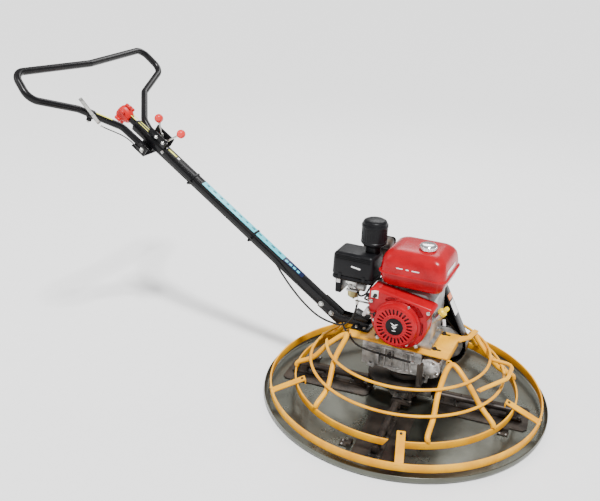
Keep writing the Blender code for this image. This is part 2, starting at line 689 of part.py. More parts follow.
def build_tank(cap_empty):
    """Fuel tank: a deep upper pressing over a tapered lower one, with its rolled seam."""
    bm = bmesh.new()
    levels = ((0.4535, 0.098, 0.090), (0.466, 0.106, 0.098), (0.4975, 0.112, 0.104),
              (0.4980, 0.1165, 0.1085), (0.5025, 0.1165, 0.1085), (0.5030, 0.111, 0.103),
              (0.545, 0.106, 0.098), (0.568, 0.094, 0.086), (0.577, 0.070, 0.062))
    loops = []
    for height, half_x, half_y in levels:
        corner = 0.026
        loop = []
        for quadrant, (sx, sy) in enumerate(((1, 1), (-1, 1), (-1, -1), (1, -1))):
            centre = (sx * (half_x - corner), sy * (half_y - corner))
            loop += arc(centre, corner, 90.0 * quadrant, 90.0 * quadrant + 90.0, 4)
        loops.append([bm.verts.new((x, y, height)) for x, y in loop])
    for below, above in zip(loops, loops[1:]):
        for k, vert in enumerate(below):
            after = (k + 1) % len(below)
            bm.faces.new((vert, below[after], above[after], above[k]))
    bm.faces.new(loops[0][::-1])
    bm.faces.new(loops[-1])
    tank = mesh_object("fuel_tank", bm, ENGINE_RED, (0.014, 0.004, 0.0), (0, 0, 0), None, False,
                       smooth=35.0)
    neck = rod("filler", 0.022, 0.016, (0.042, -0.020, 0.582), guide=True)
    join(tank, neck)
    profile = [(0.0, 0.019), (0.024, 0.019), (0.0295, 0.0155), (0.0295, 0.0), (0.0228, 0.0),
               (0.0228, 0.0115), (0.0, 0.0115)]
    turned("fuel_cap", profile, (0.042, -0.020, 0.5790), BRIGHT_STEEL, steps=32, parent=cap_empty)


def build_intake(choke):
    """Carburettor, its choke lever, and the air cleaner with the dust cup on top."""
    body = box("carburettor", (0.040, 0.046, 0.056), (-0.196, -0.050, 0.404), BRASS, bevel=0.003)
    bowl = rod("float_bowl", 0.021, 0.030, (-0.196, -0.050, 0.3755), sides=24, guide=True)
    flange = rod("carburettor_throat", 0.017, 0.050, (-0.180, -0.050, 0.408), "X", sides=20,
                 guide=True)
    join(body, bowl, flange)
    lever = box("choke_lever", (0.036, 0.004, 0.009), (-0.1990, -0.0785, 0.428), BRIGHT_STEEL,
                parent=choke)
    join(lever, rod("choke_spindle", 0.003, 0.0040, (-0.186, -0.0755, 0.428), "Y", sides=10,
                    guide=True))

    base = box("air_cleaner_base", (0.150, 0.112, 0.014), (-0.193, -0.034, 0.4425), BLACK_PLASTIC,
               bevel=0.003)
    side = box("air_duct", (0.022, 0.070, 0.062), (-0.243, -0.046, 0.4125), guide=True)
    join(base, side)
    cover = box("air_cleaner_cover", (0.152, 0.114, 0.084), (-0.193, -0.034, 0.4920),
                BLACK_PLASTIC, bevel=0.012)
    cup = [(0.0, 0.1135), (0.022, 0.1135), (0.041, 0.100), (0.0455, 0.075), (0.0455, 0.036),
           (0.036, 0.024), (0.026, 0.018), (0.026, -0.010), (0.0, -0.010)]
    join(cover, turned("dust_cup", cup, (-0.146, -0.020, 0.5345), steps=32, guide=True))


def build_exhaust():
    box("muffler", (0.105, 0.078, 0.104), (-0.160, 0.078, 0.498), DARK_STEEL, bevel=0.012)


def build_engine_small(switch):
    """Yellow oil dipstick and the engine's on-off switch on the shroud."""
    tilt = (0, math.radians(40), 0)
    along = Vector((math.sin(tilt[1]), 0, math.cos(tilt[1])))
    top = Vector((0.098, -0.045, 0.352)) + along * 0.0253
    profile = [(0.0, 0.034), (0.008, 0.034), (0.015, 0.026), (0.015, 0.0), (0.0, 0.0)]
    stick = turned("oil_dipstick", profile, top, DIPSTICK_YELLOW, steps=20)
    stick.rotation_euler = tilt
    rod("engine_switch", 0.008, 0.010, (-0.0905, -0.1325, 0.425), "Y", RUBBER, parent=switch,
        sides=16)


# ---------------------------------------------------------------- handle and controls
def build_handle(frame, grip_wheel):
    """Square handle tube with its foot bracket, stop block and the pitch hand wheel."""
    side = 2 * HANDLE_HALF
    handle = box("handle_tube", (HANDLE_LENGTH, side, side), (-HANDLE_LENGTH / 2, 0, 0),
                 BLACK_PAINT, bevel=0.004)
    handle.parent = frame
    bore = box("handle_bore", (HANDLE_LENGTH + 0.02, side - 0.006, side - 0.006),
               (-HANDLE_LENGTH / 2, 0, 0), guide=True)
    bore.parent = frame
    cut(handle, bore)

    cheek = [(-0.140, 0.2400), (-0.235, 0.2400), (-0.262, 0.2290), (-0.341, 0.2830),
             (-0.322, 0.3120), (-0.250, 0.2650), (-0.200, 0.2620), (-0.150, 0.2560)]
    plate_y = HANDLE_HALF + GAP + 0.0025
    foot = box("handle_socket", (0.066, 0.100, 0.006), (-0.166, 0, DECK_TOP + GAP + 0.003),
               BLACK_PAINT)
    for sign in (-1, 1):
        join(foot, slab(f"socket_cheek_{sign + 1}", [cheek], 0.005, (0, plate_y * sign, 0),
                        FACING_NEAR, guide=True))
    join(foot, box("stop_block", (0.056, 0.044, 0.034), (-0.180, 0, 0.2628),
                   turn=(0, math.radians(20), 0), guide=True))

    hub = [(0.0, 0.030), (0.014, 0.030), (0.024, 0.026), (0.0325, 0.018), (0.0345, 0.0),
           (0.030, -0.018), (0.020, -0.026), (0.0, -0.026)]
    wheel = turned("pitch_handwheel", hub, (0, 0, 0), KNOB_RED, steps=32)
    wheel.rotation_euler = (0, -math.pi / 2, 0)
    wheel.parent = grip_wheel
    for k in range(6):
        angle = 2.0 * math.pi * k / 6
        nub = rod(f"wheel_nub_{k}", 0.0075, 0.020,
                  (0, 0.0345 * math.cos(angle), 0.0345 * math.sin(angle)), "X", sides=12,
                  guide=True)
        nub.parent = grip_wheel
        join(wheel, nub)
    neck = [(0.0, 0.0275), (0.012, 0.0275), (0.012, 0.004), (0.0195, 0.001), (0.0195, -0.012),
            (0.0185, -0.014), (0.0185, -0.045), (0.0, -0.045)]
    collar = turned("screw_housing", neck, (-HANDLE_LENGTH, 0, 0), steps=24, guide=True)
    collar.rotation_euler = (0, -math.pi / 2, 0)
    collar.parent = frame
    join(handle, collar)


LOOP_LEG = ((-1.134, -0.068, 0.841), (-1.2225, -0.196, 0.919))
NEAR_LEG = (Vector(LOOP_LEG[1]) - Vector(LOOP_LEG[0])).normalized()
CLAMP_AT = 0.126
LEVER_SIDE = 0.026                # the stop lever runs beside the leg, this far from its axis
LEVER_TILT = math.radians(30.0)
BRACKET_X = -0.960                # along the handle


def near_leg_frame():
    """Rotation with local X up the handlebar's near leg, local Z upward and Y to the near side."""
    turn = NEAR_LEG.to_track_quat("X", "Z").to_matrix()
    return turn, turn @ Vector((0, 1, 0))


def build_loop(frame):
    """Operator's handlebar: one bent tube, held under the handle by a welded bracket."""
    half = [(-1.0641, 0.042, 0.7728), (-1.134, 0.068, 0.841), (-1.2225, 0.196, 0.919),
            (-1.271, 0.380, 0.978), (-1.350, 0.357, 1.056)]
    near = [Vector((x, -y, z)) for x, y, z in half]
    far = [Vector(p) for p in reversed(half)]
    path = rounded([*near, Vector((-1.321, 0.0, 1.045)), *far], 0.045, 4)
    loop = as_mesh(curve_object("handlebar_loop", path, LOOP_R), BLACK_PAINT, None, False)
    join(loop, *build_clamp())
    floor = -0.0382
    saddle = box("loop_bracket", (0.062, 0.128, 0.005), (BRACKET_X, 0, floor), BLACK_PAINT)
    rise = -HANDLE_HALF - GAP - floor
    riser = box("bracket_riser", (0.050, 0.026, rise), (BRACKET_X, 0, floor + rise / 2), guide=True)
    wings = [box(f"bracket_wing_{sign + 1}", (0.042, 0.005, 0.034),
                 (BRACKET_X + 0.010, 0.0615 * sign, floor + 0.0145), guide=True)
             for sign in (-1, 1)]
    for item in (saddle, riser, *wings):
        item.parent = frame
    join(saddle, riser, *wings)


def build_levers(frame, throttle, speed):
    """Black bracket on the handle with the two ball-ended levers."""
    bracket = box("lever_bracket", (0.086, 0.046, 0.004), (-0.937, 0, HANDLE_HALF + 0.0023),
                  BLACK_PAINT)
    bracket.parent = frame
    for sign in (-1, 1):
        cheek = box(f"bracket_cheek_{sign + 1}", (0.086, 0.003, 0.034),
                    (-0.937, 0.0215 * sign, HANDLE_HALF + 0.0170), guide=True)
        cheek.parent = frame
        join(bracket, cheek)
    for name, empty, reach, lean, y in (("throttle", throttle, 0.050, -0.74, 0.0095),
                                        ("speed_lock", speed, 0.070, 0.458, -0.0095)):
        hub = rod(f"{name}_lever", 0.010, 0.008, (0, y, 0), "Y", BRIGHT_STEEL, sides=20)
        stem_at = (math.sin(lean) * reach / 2, y, math.cos(lean) * reach / 2)
        stem = rod(f"{name}_stem", 0.0035, reach, stem_at, turn=(0, lean, 0), sides=12, guide=True)
        knob_at = (math.sin(lean) * (reach + 0.0125), y, math.cos(lean) * (reach + 0.0125))
        knob = ball(f"{name}_knob", 0.0165, knob_at, KNOB_RED, guide=True)
        for item in (hub, stem, knob):
            item.parent = empty
        join(hub, stem, knob)


def build_clamp():
    """The stop lever's clamp round the near leg of the handlebar, and its lug."""
    turn, side = near_leg_frame()
    seat = Vector(LOOP_LEG[0]) + NEAR_LEG * CLAMP_AT
    clamp = rod("safety_clamp", 0.0165, 0.022, seat, sides=24, guide=True)
    clamp.rotation_euler = NEAR_LEG.to_track_quat("Z", "Y").to_euler()
    lug = box("clamp_lug", (0.016, 0.0076, 0.014), seat + side * 0.0139, turn=turn.to_euler(),
              guide=True)
    return clamp, lug


def build_safety(lever_empty):
    """Pressed steel stop lever, a channel that turns on the side of the clamp."""
    length, middle = 0.112, 0.020
    channel = box("safety_lever", (length, 0.0155, 0.0022), (middle, 0, 0.006), BRIGHT_STEEL)
    for sign in (-1, 1):
        flank = box(f"lever_flank_{sign + 1}", (length, 0.002, 0.012),
                    (middle, 0.00675 * sign, 0.0008), guide=True)
        flank.parent = lever_empty
        join(channel, flank)
    channel.parent = lever_empty


def build_cables():
    """Throttle, pitch and stop cables, each held at both ends."""
    throttle = [(-0.9875, -0.034, 0.7640), (-0.953, -0.036, 0.7260), (-0.784, -0.034, 0.6080),
                (-0.616, -0.033, 0.4920), (-0.516, -0.033, 0.4220), (-0.483, -0.036, 0.3860),
                (-0.445, -0.040, 0.3450), (-0.391, -0.044, 0.2960), (-0.330, -0.050, 0.2590),
                (-0.270, -0.058, 0.2475), (-0.222, -0.068, 0.2560), (-0.190, -0.070, 0.2860),
                (-0.178, -0.066, 0.3240), (-0.176, -0.060, 0.3545)]
    tube("throttle_cable", smooth_path(throttle, 3), 0.0035, RUBBER, resolution=1)
    pitch = [(-0.600, 0.0, 0.4820), (-0.450, 0.0, 0.3790), (-0.330, 0.0, 0.2965),
             (-0.262, -0.002, 0.2450), (-0.232, -0.020, 0.2160), (-0.190, -0.062, 0.2070),
             (-0.150, -0.096, 0.2060), (-0.090, -0.112, 0.2055), (0.000, -0.1165, 0.2050),
             (0.061, -0.1190, 0.2050)]
    tube("pitch_cable", smooth_path(pitch, 3), 0.0035, RUBBER, resolution=1)
    stop = [(-1.1620, -0.1555, 0.8590), (-1.1490, -0.1370, 0.8460), (-1.1330, -0.1130, 0.8310),
            (-1.1160, -0.0900, 0.8150), (-1.1000, -0.0760, 0.7990), (-1.0845, -0.0690, 0.7830),
            (-1.0660, -0.0672, 0.7690), (-1.0480, -0.0670, 0.7565)]
    tube("stop_cable", smooth_path(stop, 3), 0.0022, RUBBER, resolution=1)


def main():
    rotor = frame_empty("rotor_axis", (0, 0, 0))
    pan = frame_empty("pan_axis", (0, 0, 0))
    build_guard()
    build_legs()
    build_deck()
    build_pan(pan)
    for number in range(1, 5):
        angle = FIRST_BLADE + 90.0 * (number - 1)
        pivot = frame_empty(f"blade_axis_{number}", (0, 0, ARM_Z), (0, 0, math.radians(angle)))
        build_blade(number, pivot)
    build_spider(rotor)
    build_worm_wheel(rotor)
    build_pitch_gear(frame_empty("wear_axis", (0, 0, WEAR_Z)),
                     frame_empty("yoke_axis", (YOKE_X, 0, YOKE_Z)))
    build_gearbox()
    build_worm(frame_empty("worm_axis", (WORM_X, 0, WORM_Z)))
    build_clutch(frame_empty("clutch_axis", (CRANK_X, BELT_Y, CRANK_Z)))
    build_belt()
    build_crank(frame_empty("crank_axis", (CRANK_X, 0, CRANK_Z)))
    build_crankcase()
    build_shroud(frame_empty("spool_axis", (CRANK_X, -0.1385, CRANK_Z)),
                 frame_empty("grip_axis", (-0.1175, -0.1385, 0.361)))
    build_tank(frame_empty("cap_axis", (0.042, -0.020, 0.579)))
    build_intake(frame_empty("choke_axis", (-0.186, -0.0785, 0.428)))
    build_exhaust()
    build_engine_small(frame_empty("switch_axis", (-0.0905, -0.1325, 0.425)))
    handle = frame_empty("handle_frame", HANDLE_FOOT, (0, HANDLE_ANGLE, 0))
    wheel = frame_empty("wheel_axis", (0, 0, 0))
    wheel.parent = handle
    wheel.location = (-1.100, 0, 0)
    throttle = frame_empty("throttle_axis", (0, 0, 0))
    throttle.parent = handle
    throttle.location = (-0.942, 0, 0.036)
    speed = frame_empty("speed_axis", (0, 0, 0))
    speed.parent = handle
    speed.location = (-0.908, 0, 0.036)
    build_handle(handle, wheel)
    build_loop(handle)
    build_levers(handle, throttle, speed)
    turn, side = near_leg_frame()
    pivot = Vector(LOOP_LEG[0]) + NEAR_LEG * CLAMP_AT + side * LEVER_SIDE
    raised = (turn @ Matrix.Rotation(-LEVER_TILT, 3, "Y")).to_euler()
    build_safety(frame_empty("safety_axis", pivot, raised))
    build_cables()


main()
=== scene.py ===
"""Finished looks of a walk-behind power trowel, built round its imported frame.

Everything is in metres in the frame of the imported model: +Z up, the handle leans back
towards -X, the recoil starter is on the -Y side and the belt drive on the +Y side.
"""

import json
import logging
import math
from dataclasses import dataclass, field
from enum import Enum
from typing import Iterable, Optional, Sequence

import bmesh
import bpy
from mathutils import Matrix, Vector

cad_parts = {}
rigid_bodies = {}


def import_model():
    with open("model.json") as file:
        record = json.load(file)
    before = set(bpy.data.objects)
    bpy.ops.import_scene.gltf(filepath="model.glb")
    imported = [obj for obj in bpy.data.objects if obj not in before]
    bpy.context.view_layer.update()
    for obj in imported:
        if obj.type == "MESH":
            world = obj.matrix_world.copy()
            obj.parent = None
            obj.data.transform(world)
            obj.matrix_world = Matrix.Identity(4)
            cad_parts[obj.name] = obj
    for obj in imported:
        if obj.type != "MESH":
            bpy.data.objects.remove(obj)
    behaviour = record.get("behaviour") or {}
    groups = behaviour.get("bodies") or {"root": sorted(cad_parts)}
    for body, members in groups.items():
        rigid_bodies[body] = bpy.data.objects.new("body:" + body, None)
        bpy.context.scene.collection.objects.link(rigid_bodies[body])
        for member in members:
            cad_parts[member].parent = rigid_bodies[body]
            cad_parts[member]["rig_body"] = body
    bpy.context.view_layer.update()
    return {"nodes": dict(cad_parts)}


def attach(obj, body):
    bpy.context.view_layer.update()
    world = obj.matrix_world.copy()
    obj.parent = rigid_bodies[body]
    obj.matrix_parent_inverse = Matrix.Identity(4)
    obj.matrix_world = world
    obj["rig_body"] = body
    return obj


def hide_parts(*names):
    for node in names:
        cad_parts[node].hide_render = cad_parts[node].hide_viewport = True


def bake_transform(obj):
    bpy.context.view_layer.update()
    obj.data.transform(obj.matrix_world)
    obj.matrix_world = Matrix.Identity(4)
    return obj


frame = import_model()
LOG = logging.getLogger("power_trowel")

Colour = tuple[float, float, float]
Point = tuple[float, float]

BARE_METAL: Colour = (0.05, 0.045, 0.04)


def moved(x: float, y: float, z: float) -> Matrix:
    """A placement moved to a point."""
    return Matrix.Translation((x, y, z))


def spin(degrees: float, axis: str = "Z") -> Matrix:
    """A placement turned about an axis by some degrees."""
    return Matrix.Rotation(math.radians(degrees), 4, axis)


HANDLE = moved(-0.260, 0.0, 0.248) @ spin(34.44, "Y")
HANDLE_HALF = 0.0185
FIRST_BLADE = -85.0
BLADE_AXIS_Z = 0.032


# ---------------------------------------------------------------- finishes
class Grain(Enum):
    """The fine relief of a surface."""

    ENAMEL = "enamel"
    CAST = "cast"
    MOULDED = "moulded"
    BRUSHED = "brushed"
    TURNED = "turned"


@dataclass(frozen=True)
class Finish:
    """One surface finish: its two tones, its gloss, its grain and its wear."""

    name: str
    colour: Colour
    stain: Colour
    roughness: float
    metallic: float = 0.0
    grain: Grain = Grain.MOULDED
    relief: float = 0.10
    patch: float = 14.0
    chips: float = 0.0
    coat: float = 0.0
    sheen: float = 0.5

    def material(self) -> bpy.types.Material:
        """Make the node material once, and give the same one afterwards.

        Returns:
            The material, shared by every piece in this finish.
        """
        made = bpy.data.materials.get("finish_" + self.name)
        if made:
            return made
        made = bpy.data.materials.new("finish_" + self.name)
        made.use_nodes = True
        made.diffuse_color = (*self.colour, 1.0)
        tree = made.node_tree
        shader = tree.nodes["Principled BSDF"]
        shader.inputs["Metallic"].default_value = self.metallic
        shader.inputs["Coat Weight"].default_value = self.coat
        shader.inputs["Coat Roughness"].default_value = 0.06
        shader.inputs["Specular IOR Level"].default_value = self.sheen
        place = tree.nodes.new("ShaderNodeTexCoord").outputs["Object"]
        patches = self._noise(tree, place, self.patch, 5.0)
        tone = self._mix(tree, self._span(tree, patches, 0.38, 0.68), self.colour, self.stain)
        if self.chips:
            spots = self._noise(tree, place, self.patch * 11.0, 3.0)
            chipped = self._span(tree, spots, 0.74 - self.chips, 0.76 - self.chips)
            tone = self._mix(tree, chipped, tone, BARE_METAL)
        tree.links.new(tone, shader.inputs["Base Color"])
        gloss = self._span(tree, patches, 0.2, 0.8, self.roughness * 0.8,
                           min(1.0, self.roughness * 1.3))
        tree.links.new(gloss, shader.inputs["Roughness"])
        tree.links.new(self._relief(tree, place), shader.inputs["Normal"])
        return made

    def _noise(self, tree: bpy.types.NodeTree, place: bpy.types.NodeSocket, scale: float,
               detail: float) -> bpy.types.NodeSocket:
        """A noise texture.

        Args:
            tree: The material's nodes.
            place: The coordinates.
            scale: Features for each metre.
            detail: Octaves.

        Returns:
            The noise value.
        """
        noise = tree.nodes.new("ShaderNodeTexNoise")
        noise.inputs["Scale"].default_value = scale
        noise.inputs["Detail"].default_value = detail
        noise.inputs["Roughness"].default_value = 0.6
        tree.links.new(place, noise.inputs["Vector"])
        return noise.outputs["Fac"]

    def _span(self, tree: bpy.types.NodeTree, value: bpy.types.NodeSocket, low: float,
              high: float, to_low: float = 0.0, to_high: float = 1.0) -> bpy.types.NodeSocket:
        """Stretch a value's range.

        Args:
            tree: The material's nodes.
            value: What to stretch.
            low: The value that gives to_low.
            high: The value that gives to_high.
            to_low: The result at low.
            to_high: The result at high.

        Returns:
            The stretched and clamped value.
        """
        span = tree.nodes.new("ShaderNodeMapRange")
        for socket, number in zip(("From Min", "From Max", "To Min", "To Max"),
                                  (low, high, to_low, to_high)):
            span.inputs[socket].default_value = number
        tree.links.new(value, span.inputs["Value"])
        return span.outputs["Result"]

    def _mix(self, tree: bpy.types.NodeTree, share: bpy.types.NodeSocket,
             first: object, second: Colour) -> bpy.types.NodeSocket:
        """Blend two colours.

        Args:
            tree: The material's nodes.
            share: How much of the second colour shows.
            first: A colour, or the socket that gives it.
            second: The other colour.

        Returns:
            The blended colour.
        """
        mix = tree.nodes.new("ShaderNodeMix")
        mix.data_type = "RGBA"
        colour_a, colour_b, result = mix.inputs[6], mix.inputs[7], mix.outputs[2]
        tree.links.new(share, mix.inputs["Factor"])
        if isinstance(first, tuple):
            colour_a.default_value = (*first, 1.0)
        else:
            tree.links.new(first, colour_a)
        colour_b.default_value = (*second, 1.0)
        return result

    def _relief(self, tree: bpy.types.NodeTree,
                place: bpy.types.NodeSocket) -> bpy.types.NodeSocket:
        """The bump of this finish's grain.

        Args:
            tree: The material's nodes.
            place: The coordinates.

        Returns:
            The bumped normal.
        """
        bump = tree.nodes.new("ShaderNodeBump")
        bump.inputs["Strength"].default_value = self.relief
        bump.inputs["Distance"].default_value = 0.001
        if self.grain is Grain.ENAMEL:
            height = self._noise(tree, place, 420.0, 1.0)
        elif self.grain is Grain.CAST:
            height = self._noise(tree, place, 520.0, 6.0)
        elif self.grain is Grain.MOULDED:
            height = self._noise(tree, place, 1500.0, 2.0)
        elif self.grain is Grain.BRUSHED:
            stretch = tree.nodes.new("ShaderNodeMapping")
            stretch.inputs["Scale"].default_value = (1.0, 26.0, 26.0)
            tree.links.new(place, stretch.inputs["Vector"])
            height = self._noise(tree, stretch.outputs["Vector"], 30.0, 3.0)
        else:
            rings = tree.nodes.new("ShaderNodeTexWave")
            rings.wave_type = "RINGS"
            rings.rings_direction = "Z"
            rings.inputs["Scale"].default_value = 60.0
            rings.inputs["Distortion"].default_value = 1.5
            tree.links.new(place, rings.inputs["Vector"])
            height = rings.outputs["Fac"]
        tree.links.new(height, bump.inputs["Height"])
        return bump.outputs["Normal"]


YELLOW = Finish("guard_yellow", (0.86, 0.415, 0.004), (0.68, 0.28, 0.002), 0.38,
                grain=Grain.ENAMEL, relief=0.10, chips=0.03, sheen=0.25)
PAN_STEEL = Finish("pan_steel", (0.108, 0.112, 0.092), (0.078, 0.080, 0.066), 0.28, 0.85,
                   grain=Grain.TURNED, relief=0.03, patch=5.0)
BLADE_STEEL = Finish("blade_steel", (0.040, 0.034, 0.029), (0.085, 0.068, 0.054), 0.38, 0.75,
                     grain=Grain.BRUSHED, relief=0.12)
ARM_STEEL = Finish("arm_steel", (0.016, 0.014, 0.013), (0.050, 0.038, 0.030), 0.44, 0.5,
                   grain=Grain.CAST, relief=0.18, patch=22.0)
CAST = Finish("cast_grey", (0.52, 0.51, 0.49), (0.13, 0.125, 0.12), 0.46, 0.40,
              grain=Grain.CAST, relief=0.50, patch=32.0)
ALLOY = Finish("die_cast", (0.46, 0.46, 0.45), (0.20, 0.195, 0.19), 0.40, 0.7,
               grain=Grain.CAST, relief=0.30, patch=30.0)
BRASS = Finish("bowl_brass", (0.36, 0.31, 0.13), (0.16, 0.13, 0.06), 0.36, 0.85,
               grain=Grain.CAST, relief=0.15, patch=30.0)
BLACK = Finish("black_paint", (0.004, 0.004, 0.005), (0.009, 0.008, 0.008), 0.26,
               grain=Grain.ENAMEL, relief=0.08, chips=0.01, sheen=0.20)
PLASTIC = Finish("black_plastic", (0.004, 0.004, 0.005), (0.009, 0.009, 0.010), 0.32,
                 relief=0.15, sheen=0.14)
RED = Finish("engine_red", (0.40, 0.0004, 0.008), (0.27, 0.0002, 0.005), 0.24,
             grain=Grain.ENAMEL, relief=0.06, sheen=0.22)
# A darker copy of the engine red: painted shade for the inside of the starter cover's slots.
SLOT_SHADE_RED = Finish("slot_shade_red", (0.11, 0.002, 0.006), (0.05, 0.001, 0.003), 0.55)
KNOB = Finish("knob_red", (0.60, 0.003, 0.003), (0.42, 0.002, 0.002), 0.32, relief=0.12,
              sheen=0.3)
BALL = Finish("ball_red", (0.72, 0.035, 0.030), (0.54, 0.020, 0.018), 0.26, relief=0.08,
              sheen=0.35)
ZINC = Finish("zinc", (0.58, 0.58, 0.56), (0.40, 0.40, 0.38), 0.28, 1.0, grain=Grain.BRUSHED,
              relief=0.06, patch=40.0)
CHROME = Finish("chrome", (0.74, 0.74, 0.75), (0.58, 0.58, 0.59), 0.12, 1.0,
                grain=Grain.TURNED, relief=0.01)
DARK_STEEL = Finish("dark_steel", (0.040, 0.038, 0.036), (0.09, 0.075, 0.060), 0.40, 0.8,
                    grain=Grain.BRUSHED, relief=0.12)
SOOTY = Finish("muffler_steel", (0.045, 0.042, 0.040), (0.12, 0.08, 0.055), 0.52, 0.7,
               grain=Grain.CAST, relief=0.20, patch=24.0)
BRONZE = Finish("bronze", (0.45, 0.28, 0.12), (0.30, 0.18, 0.08), 0.36, 0.9,
                grain=Grain.TURNED, relief=0.04)
RUBBER = Finish("rubber", (0.005, 0.005, 0.005), (0.010, 0.010, 0.009), 0.52, relief=0.30,
                patch=30.0, sheen=0.3)
GREY = Finish("grey_plastic", (0.46, 0.45, 0.44), (0.34, 0.33, 0.32), 0.40, relief=0.15)
DIPSTICK = Finish("dipstick_yellow", (0.92, 0.66, 0.003), (0.80, 0.52, 0.002), 0.32,
                  relief=0.10, sheen=0.3)
WHITE = Finish("label_white", (0.86, 0.86, 0.85), (0.72, 0.72, 0.70), 0.38, relief=0.03)
BANNER_BLUE = Finish("banner_blue", (0.006, 0.012, 0.060), (0.004, 0.008, 0.035), 0.30,
                     relief=0.02, sheen=0.2)
CYAN = Finish("banner_cyan", (0.10, 0.62, 0.72), (0.06, 0.52, 0.64), 0.34, relief=0.02)
TEAL = Finish("banner_teal", (0.010, 0.20, 0.24), (0.008, 0.14, 0.18), 0.32, relief=0.02)
AMBER = Finish("label_orange", (0.80, 0.20, 0.05), (0.68, 0.15, 0.04), 0.36, relief=0.02)
CREAM = Finish("label_yellow", (0.86, 0.84, 0.10), (0.74, 0.72, 0.08), 0.38, relief=0.02)
FLOOR = Finish("pale_floor", (0.93, 0.93, 0.93), (0.91, 0.91, 0.91), 0.60, relief=0.0)


# ---------------------------------------------------------------- outlines and paths
def polar(radius: float, degrees: float, height: float = 0.0) -> Vector:
    """A point at a radius, a bearing in degrees and a height."""
    angle = math.radians(degrees)
    return Vector((radius * math.cos(angle), radius * math.sin(angle), height))


def arc(centre: Point, radius: float, start: float, end: float, count: int) -> list[Point]:
    """Points of a flat arc, both ends included.

    Args:
        centre: Its centre.
        radius: Its radius.
        start: First bearing in degrees.
        end: Last bearing in degrees.
        count: How many points.

    Returns:
        The points in order.
    """
    turns = [math.radians(start + (end - start) * k / (count - 1)) for k in range(count)]
    return [(centre[0] + radius * math.cos(a), centre[1] + radius * math.sin(a)) for a in turns]


def rounded_rectangle(width: float, height: float, corner: float, count: int = 5) -> list[Point]:
    """A rectangle about the origin with round corners.

    Args:
        width: Size along the first axis.
        height: Size along the second axis.
        corner: Corner radius.
        count: Points in each corner.

    Returns:
        The outline, anticlockwise.
    """
    outline: list[Point] = []
    for k, (sx, sy) in enumerate(((1, 1), (-1, 1), (-1, -1), (1, -1))):
        centre = (sx * (width / 2 - corner), sy * (height / 2 - corner))
        outline += arc(centre, corner, 90.0 * k, 90.0 * k + 90.0, count)
    return outline


def smooth(points: Iterable[Sequence[float]], per_span: int = 8) -> list[Vector]:
    """Read a Catmull-Rom curve through the points.

    Args:
        points: The route.
        per_span: Steps between neighbours.

    Returns:
        The finer route.
    """
    route = [Vector(p) for p in points]
    ends = [2 * route[0] - route[1], *route, 2 * route[-1] - route[-2]]
    fine: list[Vector] = []
    for a, b, c, d in zip(ends, ends[1:], ends[2:], ends[3:]):
        for k in range(per_span):
            t = k / per_span
            fine.append(b + ((c - a) * t + (2 * a - 5 * b + 4 * c - d) * t * t
                             + (3 * b - a - 3 * c + d) * t ** 3) / 2.0)
    return [*fine, route[-1]]


def bent(points: Iterable[Sequence[float]], radius: float, count: int = 10) -> list[Vector]:
    """Round the corners of a route with one bend radius.

    Args:
        points: The route's corners.
        radius: The bend radius.
        count: Steps in each bend.

    Returns:
        The route with its bends.
    """
    route = [Vector(p) for p in points]
    done = [route[0]]
    for before, corner, after in zip(route, route[1:], route[2:]):
        back, on = (before - corner).normalized(), (after - corner).normalized()
        half = back.angle(on) / 2.0
        centre = corner + (back + on).normalized() * (radius / math.sin(half))
        start = corner + back * (radius / math.tan(half)) - centre
        end = corner + on * (radius / math.tan(half)) - centre
        sweep = start.angle(end)
        for k in range(count + 1):
            share = k / count
            done.append(centre + (start * math.sin((1 - share) * sweep)
                                  + end * math.sin(share * sweep)) / math.sin(sweep))
    return [*done, route[-1]]


def aim(at: Sequence[float], direction: Sequence[float], roll: float = 0.0) -> Matrix:
    """A placement with its origin at a point and its Z along a direction."""
    turn = Vector(direction).to_track_quat("Z", "Y").to_matrix().to_4x4()
    return Matrix.Translation(at) @ turn @ Matrix.Rotation(roll, 4, "Z")


def near_side(x: float, y: float, z: float) -> Matrix:
    """A placement whose X, Y lie along world X, Z and whose Z faces the starter side."""
    return moved(x, y, z) @ spin(90.0, "X")


